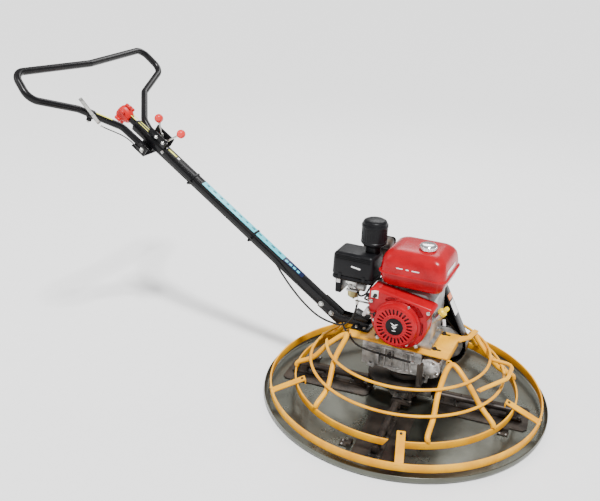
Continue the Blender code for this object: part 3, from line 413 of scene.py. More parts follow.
# ---------------------------------------------------------------- shapes
class Shape:
    """A mesh in the making: each method adds one body to it."""

    def __init__(self) -> None:
        """Start with nothing."""
        self.bm = bmesh.new()

    def _take(self, made: bmesh.types.BMesh, place: Matrix) -> "Shape":
        """Add another mesh at a placement, and free it."""
        made.transform(place)
        bmesh.ops.recalc_face_normals(made, faces=made.faces)
        mesh = bpy.data.meshes.new("scratch")
        made.to_mesh(mesh)
        made.free()
        self.bm.from_mesh(mesh)
        bpy.data.meshes.remove(mesh)
        return self

    def lathe(self, profile: Sequence[Point], place: Matrix = Matrix(), steps: int = 64,
              closed: bool = False) -> "Shape":
        """A turned body.

        Args:
            profile: (radius, height) points; a radius of 0 is on the axis.
            place: Where it stands.
            steps: Facets round it.
            closed: Whether the profile joins its own start.

        Returns:
            This shape.
        """
        made = bmesh.new()
        rings = []
        for radius, height in profile:
            if radius < 1e-7:
                rings.append([made.verts.new((0.0, 0.0, height))])
            else:
                rings.append([made.verts.new(polar(radius, 360.0 * k / steps, height))
                              for k in range(steps)])
        pairs = list(zip(rings, rings[1:]))
        if closed:
            pairs.append((rings[-1], rings[0]))
        for low, high in pairs:
            for k in range(steps):
                corners = [low[k % len(low)], low[(k + 1) % len(low)],
                           high[(k + 1) % len(high)], high[k % len(high)]]
                unique = list(dict.fromkeys(corners))
                if len(unique) > 2:
                    made.faces.new(unique)
        return self._take(made, place)

    def sweep(self, path: Sequence[Vector], radius: float, sides: int = 16,
              closed: bool = False, taper: Optional[Sequence[float]] = None) -> "Shape":
        """A round bar along a path.

        Args:
            path: The centre line.
            radius: The bar's radius.
            sides: Facets round it.
            closed: Whether the path joins its own start.
            taper: A factor on the radius at each point.

        Returns:
            This shape.
        """
        made = bmesh.new()
        count = len(path)
        up = Vector((0.0, 0.0, 1.0))
        rings = []
        for k, point in enumerate(path):
            ahead = path[(k + 1) % count] if closed or k < count - 1 else point
            behind = path[k - 1] if closed or k > 0 else point
            along = (ahead - behind).normalized()
            if k == 0 and abs(along.dot(up)) > 0.9:
                up = Vector((1.0, 0.0, 0.0))
            side = up.cross(along).normalized()
            up = along.cross(side)
            size = radius * (taper[k] if taper else 1.0)
            rings.append([
                made.verts.new(point + side * size * math.cos(a) + up * size * math.sin(a))
                for a in (2 * math.pi * s / sides for s in range(sides))])
        pairs = list(zip(rings, rings[1:]))
        if closed:
            pairs.append((rings[-1], rings[0]))
        for low, high in pairs:
            for s in range(sides):
                made.faces.new((low[s], low[(s + 1) % sides], high[(s + 1) % sides], high[s]))
        if not closed:
            made.faces.new(rings[0])
            made.faces.new(rings[-1])
        return self._take(made, Matrix())

    def loft(self, loops: Sequence[Sequence[Sequence[float]]], place: Matrix = Matrix(),
             capped: bool = True) -> "Shape":
        """A skin over closed loops of equal count.

        Args:
            loops: The sections in order.
            place: Where it stands.
            capped: Whether the first and last loop are filled.

        Returns:
            This shape.
        """
        made = bmesh.new()
        rings = [[made.verts.new(p) for p in loop] for loop in loops]
        count = len(rings[0])
        for low, high in zip(rings, rings[1:]):
            for k in range(count):
                made.faces.new((low[k], low[(k + 1) % count], high[(k + 1) % count], high[k]))
        if capped:
            made.faces.new(rings[0])
            made.faces.new(rings[-1])
        return self._take(made, place)

    def block(self, size: Sequence[float], place: Matrix, edge: float = 0.001,
              segments: int = 2) -> "Shape":
        """A block with rounded edges.

        Args:
            size: Its three sizes.
            place: Its middle.
            edge: Edge radius.
            segments: Steps round an edge.

        Returns:
            This shape.
        """
        made = bmesh.new()
        bmesh.ops.create_cube(made, size=1.0, matrix=Matrix.Diagonal((*size, 1.0)))
        bmesh.ops.bevel(made, geom=made.edges[:], offset=edge, segments=segments, profile=0.5,
                        affect="EDGES")
        return self._take(made, place)

    def rod(self, radius: float, length: float, place: Matrix, edge: float = 0.0006,
            sides: int = 24, tip: Optional[float] = None) -> "Shape":
        """A turned rod from the placement's origin along its Z, with broken edges."""
        end = radius if tip is None else tip
        edge = min(edge, length / 3, radius / 3)
        profile = [(0.0, 0.0), (radius - edge, 0.0), (radius, edge), (end, length - edge),
                   (end - edge, length), (0.0, length)]
        return self.lathe(profile, place, sides)

    def ball(self, radius: float, centre: Sequence[float], stretch: Sequence[float] = (1, 1, 1),
             place: Matrix = Matrix(), steps: int = 24) -> "Shape":
        """A round or stretched ball."""
        made = bmesh.new()
        bmesh.ops.create_uvsphere(made, u_segments=steps, v_segments=steps // 2, radius=radius)
        scale = Matrix.Diagonal((*stretch, 1.0))
        return self._take(made, Matrix.Translation(centre) @ place @ scale)

    def plate(self, outlines: Sequence[Sequence[Point]], thickness: float, place: Matrix,
              edge: float = 0.0004) -> "Shape":
        """A flat plate between closed outlines, with its edges broken.

        Args:
            outlines: The outer outline, then any holes.
            thickness: Its thickness, about the placement's plane.
            place: Where it lies.
            edge: Edge radius.

        Returns:
            This shape.
        """
        curve = bpy.data.curves.new("scratch", "CURVE")
        curve.dimensions = "2D"
        curve.fill_mode = "BOTH"
        curve.extrude = thickness / 2.0 - edge
        curve.bevel_depth = edge
        curve.bevel_resolution = 1
        curve.offset = -edge
        for outline in outlines:
            spline = curve.splines.new("POLY")
            spline.points.add(len(outline) - 1)
            for item, (x, y) in zip(spline.points, outline):
                item.co = (x, y, 0.0, 1.0)
            spline.use_cyclic_u = True
        holder = bpy.data.objects.new("scratch", curve)
        bpy.context.scene.collection.objects.link(holder)
        bpy.context.view_layer.update()
        seen = holder.evaluated_get(bpy.context.evaluated_depsgraph_get())
        mesh = bpy.data.meshes.new_from_object(seen)
        made = bmesh.new()
        made.from_mesh(mesh)
        bmesh.ops.remove_doubles(made, verts=made.verts, dist=0.00001)
        bpy.data.objects.remove(holder)
        bpy.data.meshes.remove(mesh)
        bpy.data.curves.remove(curve)
        return self._take(made, place)

    def bolt(self, place: Matrix, across: float = 0.013, height: float = 0.0055,
             washer: bool = True) -> "Shape":
        """A hexagon head with a chamfered top, on its washer.

        Args:
            place: The seat, with Z out of it.
            across: Width across the flats.
            height: Height of the head.
            washer: Whether a washer lies under it.

        Returns:
            This shape.
        """
        base = 0.0
        radius = across / 2
        if washer:
            base = 0.0014
            self.lathe([(0.0, base), (radius * 1.42, base), (radius * 1.5, base - 0.0004),
                        (radius * 1.5, 0.0), (0.0, 0.0)], place, 24)
        hexagon = [polar(radius / math.cos(math.pi / 6), 60.0 * k) for k in range(6)]
        loops = [[(p.x * s, p.y * s, z) for p in hexagon]
                 for s, z in ((1.0, base), (1.0, base + height * 0.85), (0.88, base + height))]
        return self.loft(loops, place)

    def piece(self, name: str, finish: Finish, body: str, slot: str, *replaced: str,
              sharp: float = 32.0) -> bpy.types.Object:
        """Finish the mesh as a piece that rides on a body.

        Args:
            name: The piece's name.
            finish: Its finish.
            body: The CAD body it moves with.
            slot: Not used.
            replaced: CAD nodes it stands for.
            sharp: Angle in degrees above which an edge stays crisp.

        Returns:
            The piece.
        """
        mesh = bpy.data.meshes.new(name)
        self.bm.to_mesh(mesh)
        self.bm.free()
        mesh.shade_smooth()
        mesh.set_sharp_from_angle(angle=math.radians(sharp))
        made = bpy.data.objects.new(name, mesh)
        bpy.context.scene.collection.objects.link(made)
        mesh.materials.append(finish.material())
        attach(made, body)
        if replaced:
            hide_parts(*replaced)
        LOG.info("%s: %d faces on %s", name, len(mesh.polygons), body)
        return made


def dress(nodes: Iterable[str], finish: Finish, edge: float = 0.0) -> None:
    """Give CAD nodes their finish, smooth round faces and broken edges.

    Args:
        nodes: The nodes.
        finish: Their finish.
        edge: Width of the broken edges; 0 leaves them crisp.
    """
    for name in nodes:
        node = frame["nodes"][name]
        for slot in node.material_slots:
            slot.material = finish.material()
        node.data.shade_smooth()
        weld = node.modifiers.new("weld", "WELD")
        weld.merge_threshold = 0.00002
        if edge:
            bevel = node.modifiers.new("broken_edges", "BEVEL")
            bevel.width = edge
            bevel.segments = 2
            bevel.limit_method = "ANGLE"
            bevel.angle_limit = math.radians(40.0)
        split = node.modifiers.new("crisp_edges", "EDGE_SPLIT")
        split.split_angle = math.radians(36.0)
        LOG.info("%s: dressed in %s", name, finish.name)


# ---------------------------------------------------------------- pan, blades and rotor
@dataclass
class FloatPan:
    """The polished float pan with its turned-up rim, and the clips that the blades push."""

    radius: float = 0.500
    sheet: float = 0.003
    bend: float = 0.013
    lip: float = 0.0255
    clip_radius: float = 0.365
    clip_side: float = 0.091

    def build(self) -> None:
        """Make the disc, the clips and their rivets."""
        centre = (self.radius - self.bend, self.bend)
        inside = arc(centre, self.bend - self.sheet, -90.0, 0.0, 10)
        outside = arc(centre, self.bend, 0.0, -90.0, 12)
        top = arc((self.radius - self.sheet / 2, self.lip - self.sheet / 2), self.sheet / 2,
                  180.0, 0.0, 7)
        floor = [(0.0, self.sheet), (0.15, self.sheet), (0.35, self.sheet)]
        profile = [*floor, *inside, *top, *outside, (0.35, 0.0), (0.0, 0.0)]
        Shape().lathe(profile, steps=256).piece(
            "pan_disc", PAN_STEEL, "float_pan", "pan_steel", "float_pan")
        clips, rivets = Shape(), Shape()
        for number in range(4):
            angle = FIRST_BLADE + 90.0 * number
            turn = spin(angle)
            spot = turn @ moved(self.clip_radius, -self.clip_side, 0.0)
            clips.block((0.034, 0.014, 0.0125), spot @ moved(0, 0, 0.0100), 0.0015)
            clips.block((0.034, 0.040, 0.003), spot @ moved(0, -0.012, 0.0048),
                        0.0010)
            for shift in (-0.010, 0.010):
                place = spot @ moved(shift, -0.024, 0.0062)
                rivets.lathe([(0.0, 0.0028), (0.0025, 0.0022), (0.0042, 0.0)], place, 16)
        clips.piece("pan_clips", DARK_STEEL, "float_pan", "pan_steel")
        rivets.piece("pan_clip_rivets", ZINC, "float_pan", "pan_steel")


@dataclass
class Rotor:
    """The spider, its four arms with their blades, and the pitch gear over them."""

    pad_spots: tuple[float, ...] = (0.165, 0.272, 0.380)
    bolt_side: float = 0.0155
    foot_top: float = 0.0128

    def build(self) -> None:
        """Dress the turning nodes and bolt the blades on."""
        arms = [f"trowel_arm_{k}" for k in range(1, 5)]
        dress(arms, ARM_STEEL, 0.0010)
        dress([f"trowel_blade_{k}" for k in range(1, 5)], BLADE_STEEL, 0.0005)
        dress(["spider_hub"], CAST, 0.0012)
        dress(["rotor_shaft", "wear_plate", "pitch_yoke"], DARK_STEEL, 0.0006)
        dress(["worm_wheel"], BRONZE, 0.0003)
        for number in range(4):
            turn = spin(FIRST_BLADE + 90.0 * number)
            self.arm_hardware(number + 1, turn)
        self.hub_hardware()

    def arm_hardware(self, number: int, turn: Matrix) -> None:
        """Blade bolts, the grease nipple and the levelling screw's nut of one arm.

        Args:
            number: The arm's number.
            turn: The arm's bearing.
        """
        bolts = Shape()
        for x in self.pad_spots:
            for y in (-self.bolt_side, self.bolt_side):
                bolts.bolt(turn @ moved(x + 0.028, y, self.foot_top), 0.011, 0.005)
        bolts.lathe([(0.0, 0.009), (0.0016, 0.008), (0.0022, 0.006), (0.0016, 0.004),
                     (0.003, 0.003), (0.003, 0.0), (0.0, 0.0)],
                    turn @ moved(0.205, 0.0, BLADE_AXIS_Z + 0.0105), 16)
        bolts.bolt(turn @ moved(0.116, 0.045, 0.0470), 0.016, 0.006, False)
        bolts.piece(f"arm_bolts_{number}", DARK_STEEL, f"blade_{number}", "dark_steel")
        cap = Shape().lathe([(0.0, 0.0025), (0.0075, 0.0020), (0.0105, 0.0), (0.0, 0.0)],
                            turn @ aim((0.4012, 0.0, BLADE_AXIS_Z), (1, 0, 0)), 24)
        cap.piece(f"arm_end_cap_{number}", ARM_STEEL, f"blade_{number}", "dark_steel")

    def hub_hardware(self) -> None:
        """Clamping bolts on the hub."""
        bolts = Shape()
        for number in range(4):
            turn = spin(FIRST_BLADE + 90.0 * number)
            for x in (0.068, 0.090):
                bolts.bolt(turn @ moved(x, 0.0, 0.0508), 0.010, 0.005)
        bolts.piece("hub_bolts", ZINC, "rotor", "lever_steel")


# ---------------------------------------------------------------- guard cage and deck
@dataclass
class GuardCage:
    """The yellow cage: two flat bands, two rod rings, bars, bent legs and the lift handle."""

    guard_radius: float = 0.480
    guard_height: tuple[float, float] = (0.0285, 0.0565)
    band_radius: float = 0.392
    band_height: tuple[float, float] = (0.049, 0.074)
    flat: float = 0.006
    mid_ring: tuple[float, float] = (0.3375, 0.134)
    upper_ring: tuple[float, float] = (0.284, 0.197)
    rod: float = 0.005
    leg: float = 0.009
    bars: tuple[float, ...] = (-73.8, -2.7, 74.0, 214.5)
    gap_bearing: float = -78.2
    welds: list[Vector] = field(default_factory=list)

    def build(self) -> None:
        """Make every part of the cage and its welds."""
        self.bands()
        self.rods()
        self.legs()
        self.cross_bars()
        self.weld_beads()

    def _flat_section(self, outer: float, height: tuple[float, float]) -> list[Point]:
        """The rounded section of a flat band as (radius, height) points."""
        low, high = height
        shape = rounded_rectangle(self.flat, high - low, 0.0018, 4)
        return [(outer - self.flat / 2 + x, (low + high) / 2 + y) for x, y in shape]

    def bands(self) -> None:
        """The outer ring, and the lower band with its slanted opening."""
        Shape().lathe(self._flat_section(self.guard_radius, self.guard_height), steps=240,
                      closed=True).piece("outer_ring", YELLOW, "chassis", "guard_yellow",
                                         "guard_outer_ring")
        section = self._flat_section(self.band_radius, self.band_height)
        middle = sum(self.band_height) / 2
        half_gap, steps = 2.4, 230
        loops = []
        for k in range(steps + 1):
            share = k / steps
            bearing = self.gap_bearing + half_gap + (360.0 - 2 * half_gap) * share
            slant = 95.0 * max(0.0, (share - 0.99) / 0.01)
            loops.append([polar(r, bearing + slant * (z - middle), z) for r, z in section])
        Shape().loft(loops).piece("lower_band", YELLOW, "chassis", "guard_yellow",
                                  "guard_lower_band")

    def rods(self) -> None:
        """The two rings of round rod."""
        radius, height = self.mid_ring
        mid = [polar(radius, 1.5 * k, height) for k in range(240)]
        Shape().sweep(mid, self.rod, 14, closed=True).piece(
            "mid_rod_ring", YELLOW, "chassis", "guard_yellow", "guard_mid_ring")
        radius, height = self.upper_ring
        upper = [polar(radius, -162.0 + 1.5 * k, height) for k in range(217)]
        ends = [0.5, 0.85] + [1.0] * (len(upper) - 4) + [0.85, 0.5]
        Shape().sweep(upper, self.rod, 14, taper=ends).piece(
            "upper_rod_ring", YELLOW, "chassis", "guard_yellow", "guard_upper_ring")

    def _leg_route(self, bearings: Sequence[float], apex: Vector) -> list[Vector]:
        """One leg from its foot on the band, inside both rings, to the apex."""
        inset = (self.leg + self.rod + 0.0012) * math.sqrt(0.5)
        foot, mid, upper = bearings
        top = self.band_height[1]
        route = [polar(self.band_radius - self.flat / 2, foot, top + 0.0034),
                 polar(self.band_radius - 0.012, foot, top + 0.018),
                 polar(self.mid_ring[0] - inset, mid, self.mid_ring[1] - inset),
                 polar(self.upper_ring[0] - inset, upper, self.upper_ring[1] - inset), apex]
        self.welds += [polar(self.band_radius - self.flat / 2, foot, top + 0.0015),
                       polar(self.mid_ring[0] - inset / 2, mid, self.mid_ring[1] - inset / 2),
                       polar(self.upper_ring[0] - inset / 2, upper, self.upper_ring[1] - inset / 2)]
        return route

    def legs(self) -> None:
        """Four pairs of legs, each one tube bent over at the deck, and the lift handle."""
        front = ((61.4, 56.6, 50.4), (25.4, 24.9, 26.9))
        rear = ((120.8, 124.4, 136.0), (162.0, 160.5, 159.5))
        pairs = (("front_near", front, -1, (0.181, -0.1045, 0.2265)),
                 ("front_far", front, 1, (0.197, 0.158, 0.2165)),
                 ("rear_near", rear, -1, (-0.200, -0.079, 0.2265)),
                 ("rear_far", rear, 1, (-0.200, 0.079, 0.2265)))
        for name, bearings, side, apex in pairs:
            first, second = (self._leg_route([side * b for b in leg], Vector(apex))
                             for leg in bearings)
            route = smooth(first[:-1] + second[::-1], 10)
            Shape().sweep(route, self.leg, 20).piece(
                f"bent_legs_{name}", YELLOW, "chassis", "guard_yellow", f"guard_legs_{name}")
            self.welds.append(Vector(apex) + Vector((-0.010 if apex[0] > 0 else 0.010,
                                                     0.012 if apex[1] < 0 else -0.012, 0.004)))
        grab = [(0.2835, -0.1185, 0.1665), (0.356, -0.034, 0.187), (0.356, 0.055, 0.190),
                (0.2865, 0.0478, 0.197)]
        Shape().sweep(bent(grab, 0.022), 0.007, 18).piece(
            "lift_bar", YELLOW, "chassis", "guard_yellow", "lift_handle")
        self.welds += [Vector(grab[0]), Vector(grab[-1])]

    def cross_bars(self) -> None:
        """Four flat bars from the outer ring up over the band, each with a bolt hole."""
        bars, bolts = Shape(), Shape()
        outer, inner = self.guard_radius - self.flat / 2, 0.360
        low, high = 0.0475, 0.0905
        tilt = math.atan2(high - low, outer - inner)
        length = math.hypot(outer - inner, high - low)
        outline = rounded_rectangle(length, 0.028, 0.003, 4)
        hole = arc((-length / 2 + 0.011, 0.0), 0.0042, 360.0, 18.0, 20)
        for bearing in self.bars:
            turn = spin(bearing)
            place = (turn @ moved((outer + inner) / 2, 0, (low + high) / 2)
                     @ Matrix.Rotation(tilt, 4, "Y"))
            bars.plate([outline, hole], 0.005, place, 0.0008)
            tab = turn @ moved(inner + 0.0015, 0.0, high - 0.0095)
            bars.block((0.0045, 0.028, 0.016), tab, 0.0012)
            bolts.bolt(place @ moved(-length / 2 + 0.011, 0.0, 0.0022), 0.008,
                       0.003, False)
            for side in (-1, 1):
                self.welds.append(turn @ Vector((outer - 0.002, 0.0125 * side, low + 0.003)))
        bars.piece("cross_bars", YELLOW, "chassis", "guard_yellow")
        bolts.piece("cross_bar_bolts", DARK_STEEL, "chassis", "dark_steel")

    def weld_beads(self) -> None:
        """A painted bead at each joint, built of overlapping drops."""
        beads = Shape()
        for number, spot in enumerate(self.welds):
            for k in range(5):
                drop = spot + Vector(((k - 2) * 0.0022, ((k * 7 + number) % 3 - 1) * 0.0014, 0.0))
                beads.ball(0.0042, drop, (1.0, 1.0, 0.72), steps=10)
        beads.piece("weld_beads", YELLOW, "chassis", "guard_yellow", sharp=80.0)


@dataclass
class Deck:
    """The yellow deck plate with its slots, drawn as dark ovals of painted shade, and engine bolts.
    """

    top: float = 0.236
    front_bolts: tuple[Point, ...] = ((0.107, -0.0485), (0.107, 0.073))
    rear_bolts: tuple[Point, ...] = ((-0.100, -0.0485), (-0.100, 0.073))

    def build(self) -> None:
        """Dress the plate and add its hardware."""
        dress(["deck_plate"], YELLOW, 0.0012)
        slots, bolts = Shape(), Shape()
        # Each slot is a thin dark oval laid on the deck: painted shade standing for the opening.
        oval = rounded_rectangle(0.030, 0.010, 0.0049, 6)
        for x, y in (*self.front_bolts, *self.rear_bolts):
            slots.plate([oval], 0.0008, moved(x + 0.008, y, self.top + 0.0002),
                        0.0001)
            bolts.bolt(moved(x, y, self.top + 0.0005), 0.012, 0.006)
        slots.piece("deck_slot_shade", DARK_STEEL, "chassis", "dark_steel")
        bolts.piece("deck_bolts", DARK_STEEL, "chassis", "dark_steel")
        flange = Shape()
        flange.block((0.003, 0.150, 0.022), moved(0.1600, -0.010, self.top - 0.016),
                     0.001)
        flange.piece("deck_front_flange", YELLOW, "chassis", "guard_yellow")


# ---------------------------------------------------------------- gearbox
@dataclass
class Gearbox:
    """Grey cast gearbox with its ribs, bolts, worm bearing cap and side bracket."""

    radius: float = 0.096
    worm: tuple[float, float, float] = (0.108, -0.090, 0.182)

    def build(self) -> None:
        """Dress the casting and add what is bolted to it."""
        dress(["gearbox_housing", "gearbox_cover"], CAST, 0.0012)
        dress(["worm_shaft"], DARK_STEEL, 0.0004)
        self.casting_ribs()
        self.worm_cap()
        self.side_bracket()
        self.bottom_cover()

    def casting_ribs(self) -> None:
        """A bolted flange and upright ribs round the housing."""
        ribs, bolts = Shape(), Shape()
        ribs.lathe([(self.radius - 0.004, 0.1565), (self.radius + 0.004, 0.1555),
                    (self.radius + 0.006, 0.1540), (self.radius + 0.006, 0.1440),
                    (self.radius + 0.004, 0.1425), (self.radius - 0.004, 0.1425)], closed=True,
                   steps=96)
        for k in range(12):
            bearing = 30.0 * k - 75.0
            if abs((bearing + 180.0) % 360.0 - 180.0) < 20.0:
                continue
            turn = spin(bearing)
            ribs.block((0.012, 0.005, 0.060), turn @ moved(self.radius, 0, 0.188),
                       0.0015)
            bolts.bolt(turn @ spin(15.0)
                       @ moved(self.radius + 0.0005, 0, 0.1565), 0.009, 0.005)
        ribs.piece("gearbox_ribs", CAST, "chassis", "cast_grey")
        bolts.piece("gearbox_bolts", ZINC, "chassis", "lever_steel")

    def worm_cap(self) -> None:
        """The ribbed round cap over the worm's near bearing."""
        place = aim(self.worm, (0, -1, 0))
        cap = Shape().lathe([(0.0, 0.016), (0.010, 0.0155), (0.020, 0.012), (0.024, 0.008),
                             (0.0245, 0.005), (0.033, 0.0045), (0.0345, 0.003), (0.0345, -0.004),
                             (0.0, -0.004)], place, 64)
        bolts = Shape()
        for k in range(8):
            turn = place @ spin(45.0 * k)
            cap.block((0.020, 0.0028, 0.010), turn @ moved(0.020, 0, 0.0065), 0.001)
            if k % 2:
                bolts.bolt(turn @ spin(22.5)
                           @ moved(0.0290, 0, 0.0044), 0.007, 0.0035)
        cap.piece("worm_bearing_cap", CAST, "chassis", "cast_grey")
        bolts.piece("worm_cap_bolts", ZINC, "chassis", "lever_steel")

    def side_bracket(self) -> None:
        """The pale bracket and the round plug on the near side of the casting."""
        bracket = Shape()
        outline = [(-0.020, -0.036), (0.004, -0.040), (0.012, -0.026), (0.010, 0.020),
                   (0.030, 0.034), (-0.026, 0.034), (-0.024, 0.0)]
        bracket.plate([outline, arc((-0.006, -0.022), 0.005, 360.0, 18.0, 20)], 0.007,
                      near_side(-0.094, -0.0955, 0.176), 0.0012)
        bracket.block((0.014, 0.020, 0.046), moved(-0.076, -0.0975, 0.182), 0.002)
        bracket.piece("side_bracket", ALLOY, "chassis", "die_cast")
        plug = Shape().lathe([(0.0, 0.007), (0.006, 0.007), (0.0065, 0.004), (0.010, 0.004),
                              (0.0135, 0.003), (0.0135, 0.0), (0.0, 0.0)],
                             aim((-0.030, -0.0905, 0.196), (0, -1, 0)), 40)
        plug.bolt(aim((-0.030, -0.0972, 0.196), (0, -1, 0)), 0.008, 0.003, False)
        plug.piece("oil_plug", DARK_STEEL, "chassis", "dark_steel")
        webs = Shape()
        for x in (-0.052, 0.012, 0.040):
            webs.block((0.005, 0.010, 0.070), moved(x, -0.0925, 0.186), 0.0015)
        webs.block((0.118, 0.009, 0.006), moved(-0.010, -0.0925, 0.222), 0.0018)
        webs.piece("casting_webs", CAST, "chassis", "cast_grey")

    def bottom_cover(self) -> None:
        """Ribs under the gearbox cover."""
        ribs = Shape()
        for k in range(8):
            turn = spin(45.0 * k)
            ribs.block((0.046, 0.004, 0.006), turn @ moved(0.062, 0, 0.1400), 0.001)
        ribs.piece("cover_ribs", CAST, "chassis", "cast_grey")


# ---------------------------------------------------------------- engine
def shroud_outline(grow: float = 0.0) -> list[Point]:
    """The fan housing's outline in X and Z: round below, with an ear over the cylinder.

    Args:
        grow: How far it stands outside the pressing's outer line.

    Returns:
        The outline, anticlockwise.
    """
    low = arc((-0.005, 0.3455), 0.097 + grow, -165.0, 15.0, 40)
    right = arc((0.094, 0.404), 0.014 + grow, 10.0, 75.0, 8)
    top_left = arc((-0.094, 0.4300), 0.0215 + grow, 100.0, 170.0, 8)
    return [*low, *right, *top_left, (-0.1165 - grow, 0.392)]


@dataclass
class Starter:
    """The recoil cover with its radial slots, badge, rope and grip."""

    centre: tuple[float, float, float] = (-0.010, -0.1273, 0.340)
    slots: int = 26
    rope_height: float = 0.361

    def build(self) -> None:
        """Make the cover, what shows inside it (a dark red disc of painted shade behind the slots),
        and the grip.
        """
        place = aim(self.centre, (0, -1, 0))
        cover = Shape().lathe([(0.0640, 0.0228), (0.0645, 0.0252), (0.0665, 0.0256),
                               (0.0715, 0.0235), (0.0745, 0.0190), (0.0752, 0.0060),
                               (0.0775, 0.0042), (0.0800, 0.0036), (0.0808, 0.0024),
                               (0.0800, 0.0004), (0.0735, 0.0004), (0.0725, 0.0040),
                               (0.0715, 0.0180), (0.0690, 0.0215)], place, 128, closed=True)
        self._front(cover, place)
        cover.piece("starter_cover", RED, "chassis", "engine_red", "recoil_cover")
        # A dark red disc behind the cover's slots: painted shade, so the slots read as the red
        # cover's shaded inside.
        Shape().lathe([(0.0, 0.0185), (0.060, 0.0180), (0.066, 0.0165), (0.066, 0.0150),
                       (0.0, 0.0150)], place, 64).piece(
            "starter_slot_shade", SLOT_SHADE_RED, "chassis", "black_plastic")
        Shape().lathe([(0.0, 0.0272), (0.0285, 0.0270), (0.0300, 0.0262), (0.0300, 0.0240),
                       (0.0, 0.0240)], place, 96).piece(
            "starter_badge", PLASTIC, "chassis", "black_plastic")
        marks = Shape()
        face = near_side(self.centre[0], self.centre[1] - 0.02735, self.centre[2])
        for z, width in ((0.0075, 0.0125), (-0.0020, 0.0095)):
            chevron = [(-width, 0.0042), (-width + 0.0045, 0.0042), (0.0, -0.0005),
                       (width - 0.0045, 0.0042), (width, 0.0042), (0.0, -0.0062)]
            marks.plate([chevron], 0.0005, face @ moved(0, z, 0), 0.0001)
        marks.plate([rounded_rectangle(0.013, 0.0022, 0.001)], 0.0005,
                    face @ moved(0, -0.0145, 0), 0.0001)
        marks.piece("badge_mark", WHITE, "chassis", "grey_plastic")
        self._screws(place)
        self._rope_and_grip()
        dress(["recoil_spool"], PLASTIC)

    def _front(self, cover: Shape, place: Matrix) -> None:
        """The slotted front face, with a raised rib between slots."""
        outlines = [arc((0.0, 0.0), 0.0650, 0.0, 357.0, 120)]
        inner, outer = 0.0420, 0.0615
        for k in range(self.slots):
            turn = math.radians(360.0 * k / self.slots)
            slot = rounded_rectangle(outer - inner, 0.0058, 0.0026, 4)
            middle = (inner + outer) / 2
            outlines.append([((x + middle) * math.cos(turn) - y * math.sin(turn),
                              (x + middle) * math.sin(turn) + y * math.cos(turn))
                             for x, y in reversed(slot)])
        cover.plate(outlines, 0.0026, place @ moved(0, 0, 0.0240), 0.0005)
        for radius in (0.0345, 0.0390):
            cover.lathe([(radius + 0.0012, 0.0250), (radius + 0.0008, 0.0260),
                         (radius - 0.0008, 0.0260), (radius - 0.0012, 0.0250)], place, 96,
                        closed=True)

    def _screws(self, place: Matrix) -> None:
        """Three flanged screws on the cover's rim."""
        screws = Shape()
        for bearing in (62.0, 182.0, 302.0):
            turn = place @ spin(bearing)
            screws.bolt(turn @ moved(0.0778, 0.0, 0.0038), 0.0075, 0.0040)
        screws.piece("starter_screws", ZINC, "chassis", "lever_steel")

    def _rope_and_grip(self) -> None:
        """The rope's collar, the rope that draws out, and the T grip."""
        y = -0.1385
        collar = Shape().lathe([(0.0030, 0.0), (0.0068, 0.0), (0.0078, 0.0030), (0.0078, 0.0060),
                                (0.0040, 0.0075), (0.0030, 0.0060)],
                               aim((-0.0815, y, self.rope_height), (-1, 0, 0)), 32, closed=True)
        collar.piece("rope_collar", PLASTIC, "chassis", "black_plastic")
        path = [Vector((-0.0600 - 0.0026 * k, y, self.rope_height)) for k in range(19)]
        rope = Shape().sweep(path, 0.0021, 10)
        self._blended(rope, "starter_rope")
        bar = [Vector((-0.1175 - 0.0016 * math.cos(math.pi * t), -0.099 - 0.060 * t,
                       self.rope_height)) for t in (k / 24 for k in range(25))]
        swell = [0.70 + 0.30 * math.sin(math.pi * min(1.0, 0.12 + 0.88 * k / 24)) ** 0.4
                 for k in range(25)]
        grip = Shape().sweep(bar, 0.0074, 24, taper=swell)
        grip.lathe([(0.0, 0.015), (0.0045, 0.015), (0.0066, 0.008), (0.0072, 0.0), (0.0, 0.0)],
                   aim((-0.1175, y, self.rope_height), (1, 0, 0)), 24)
        grip.piece("pull_grip", GREY, "recoil_grip", "grey_plastic", "recoil_grip")

    def _blended(self, shape: Shape, name: str) -> None:
        """Finish a rope that stretches between the chassis and a moving body."""
        made = shape.piece(name, RUBBER, "chassis", "rubber")
        made.parent = None
        del made["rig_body"]
        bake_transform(made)


@dataclass
class Shroud:
    """The red fan housing with its three groups of vents, screws and a blank label."""

    back: float = -0.067
    front: float = -0.127
    sheet: float = 0.0025

    def build(self) -> None:
        """Make the pressing, its slotted face and the small things on it."""
        body = Shape()
        skin = ((0.0, self.back), (0.0, -0.1180), (-0.0012, -0.1222), (-0.0042, -0.1256),
                (-0.0085, self.front))
        outer = [[(x, y, z) for x, z in shroud_outline(grow)] for grow, y in skin]
        inner = [[(x, y + (self.sheet if y < -0.12 else 0.0), z)
                  for x, z in shroud_outline(grow - self.sheet)] for grow, y in reversed(skin)]
        body.loft([*outer, *inner], capped=False)
        edge = [outer[0], inner[-1]]
        body.loft(edge, capped=False)
        self._face(body)
        body.piece("fan_housing", RED, "chassis", "engine_red", "fan_shroud")
        Shape().plate([shroud_outline(-0.012)], 0.001, near_side(0, -0.1175, 0), 0.0002).piece(
            "fan_shadow_plate", PLASTIC, "chassis", "black_plastic")
        self._fixings()

    def _vent(self, radius: float, start: float, end: float, half: float) -> list[Point]:
        """One curved slot about the crank, as a hole's outline."""
        centre = (-0.010, 0.340)
        outer = arc(centre, radius + half, start, end, 8)
        inner = arc(centre, radius - half, end, start, 8)
        return [*reversed(inner), *reversed(outer)]

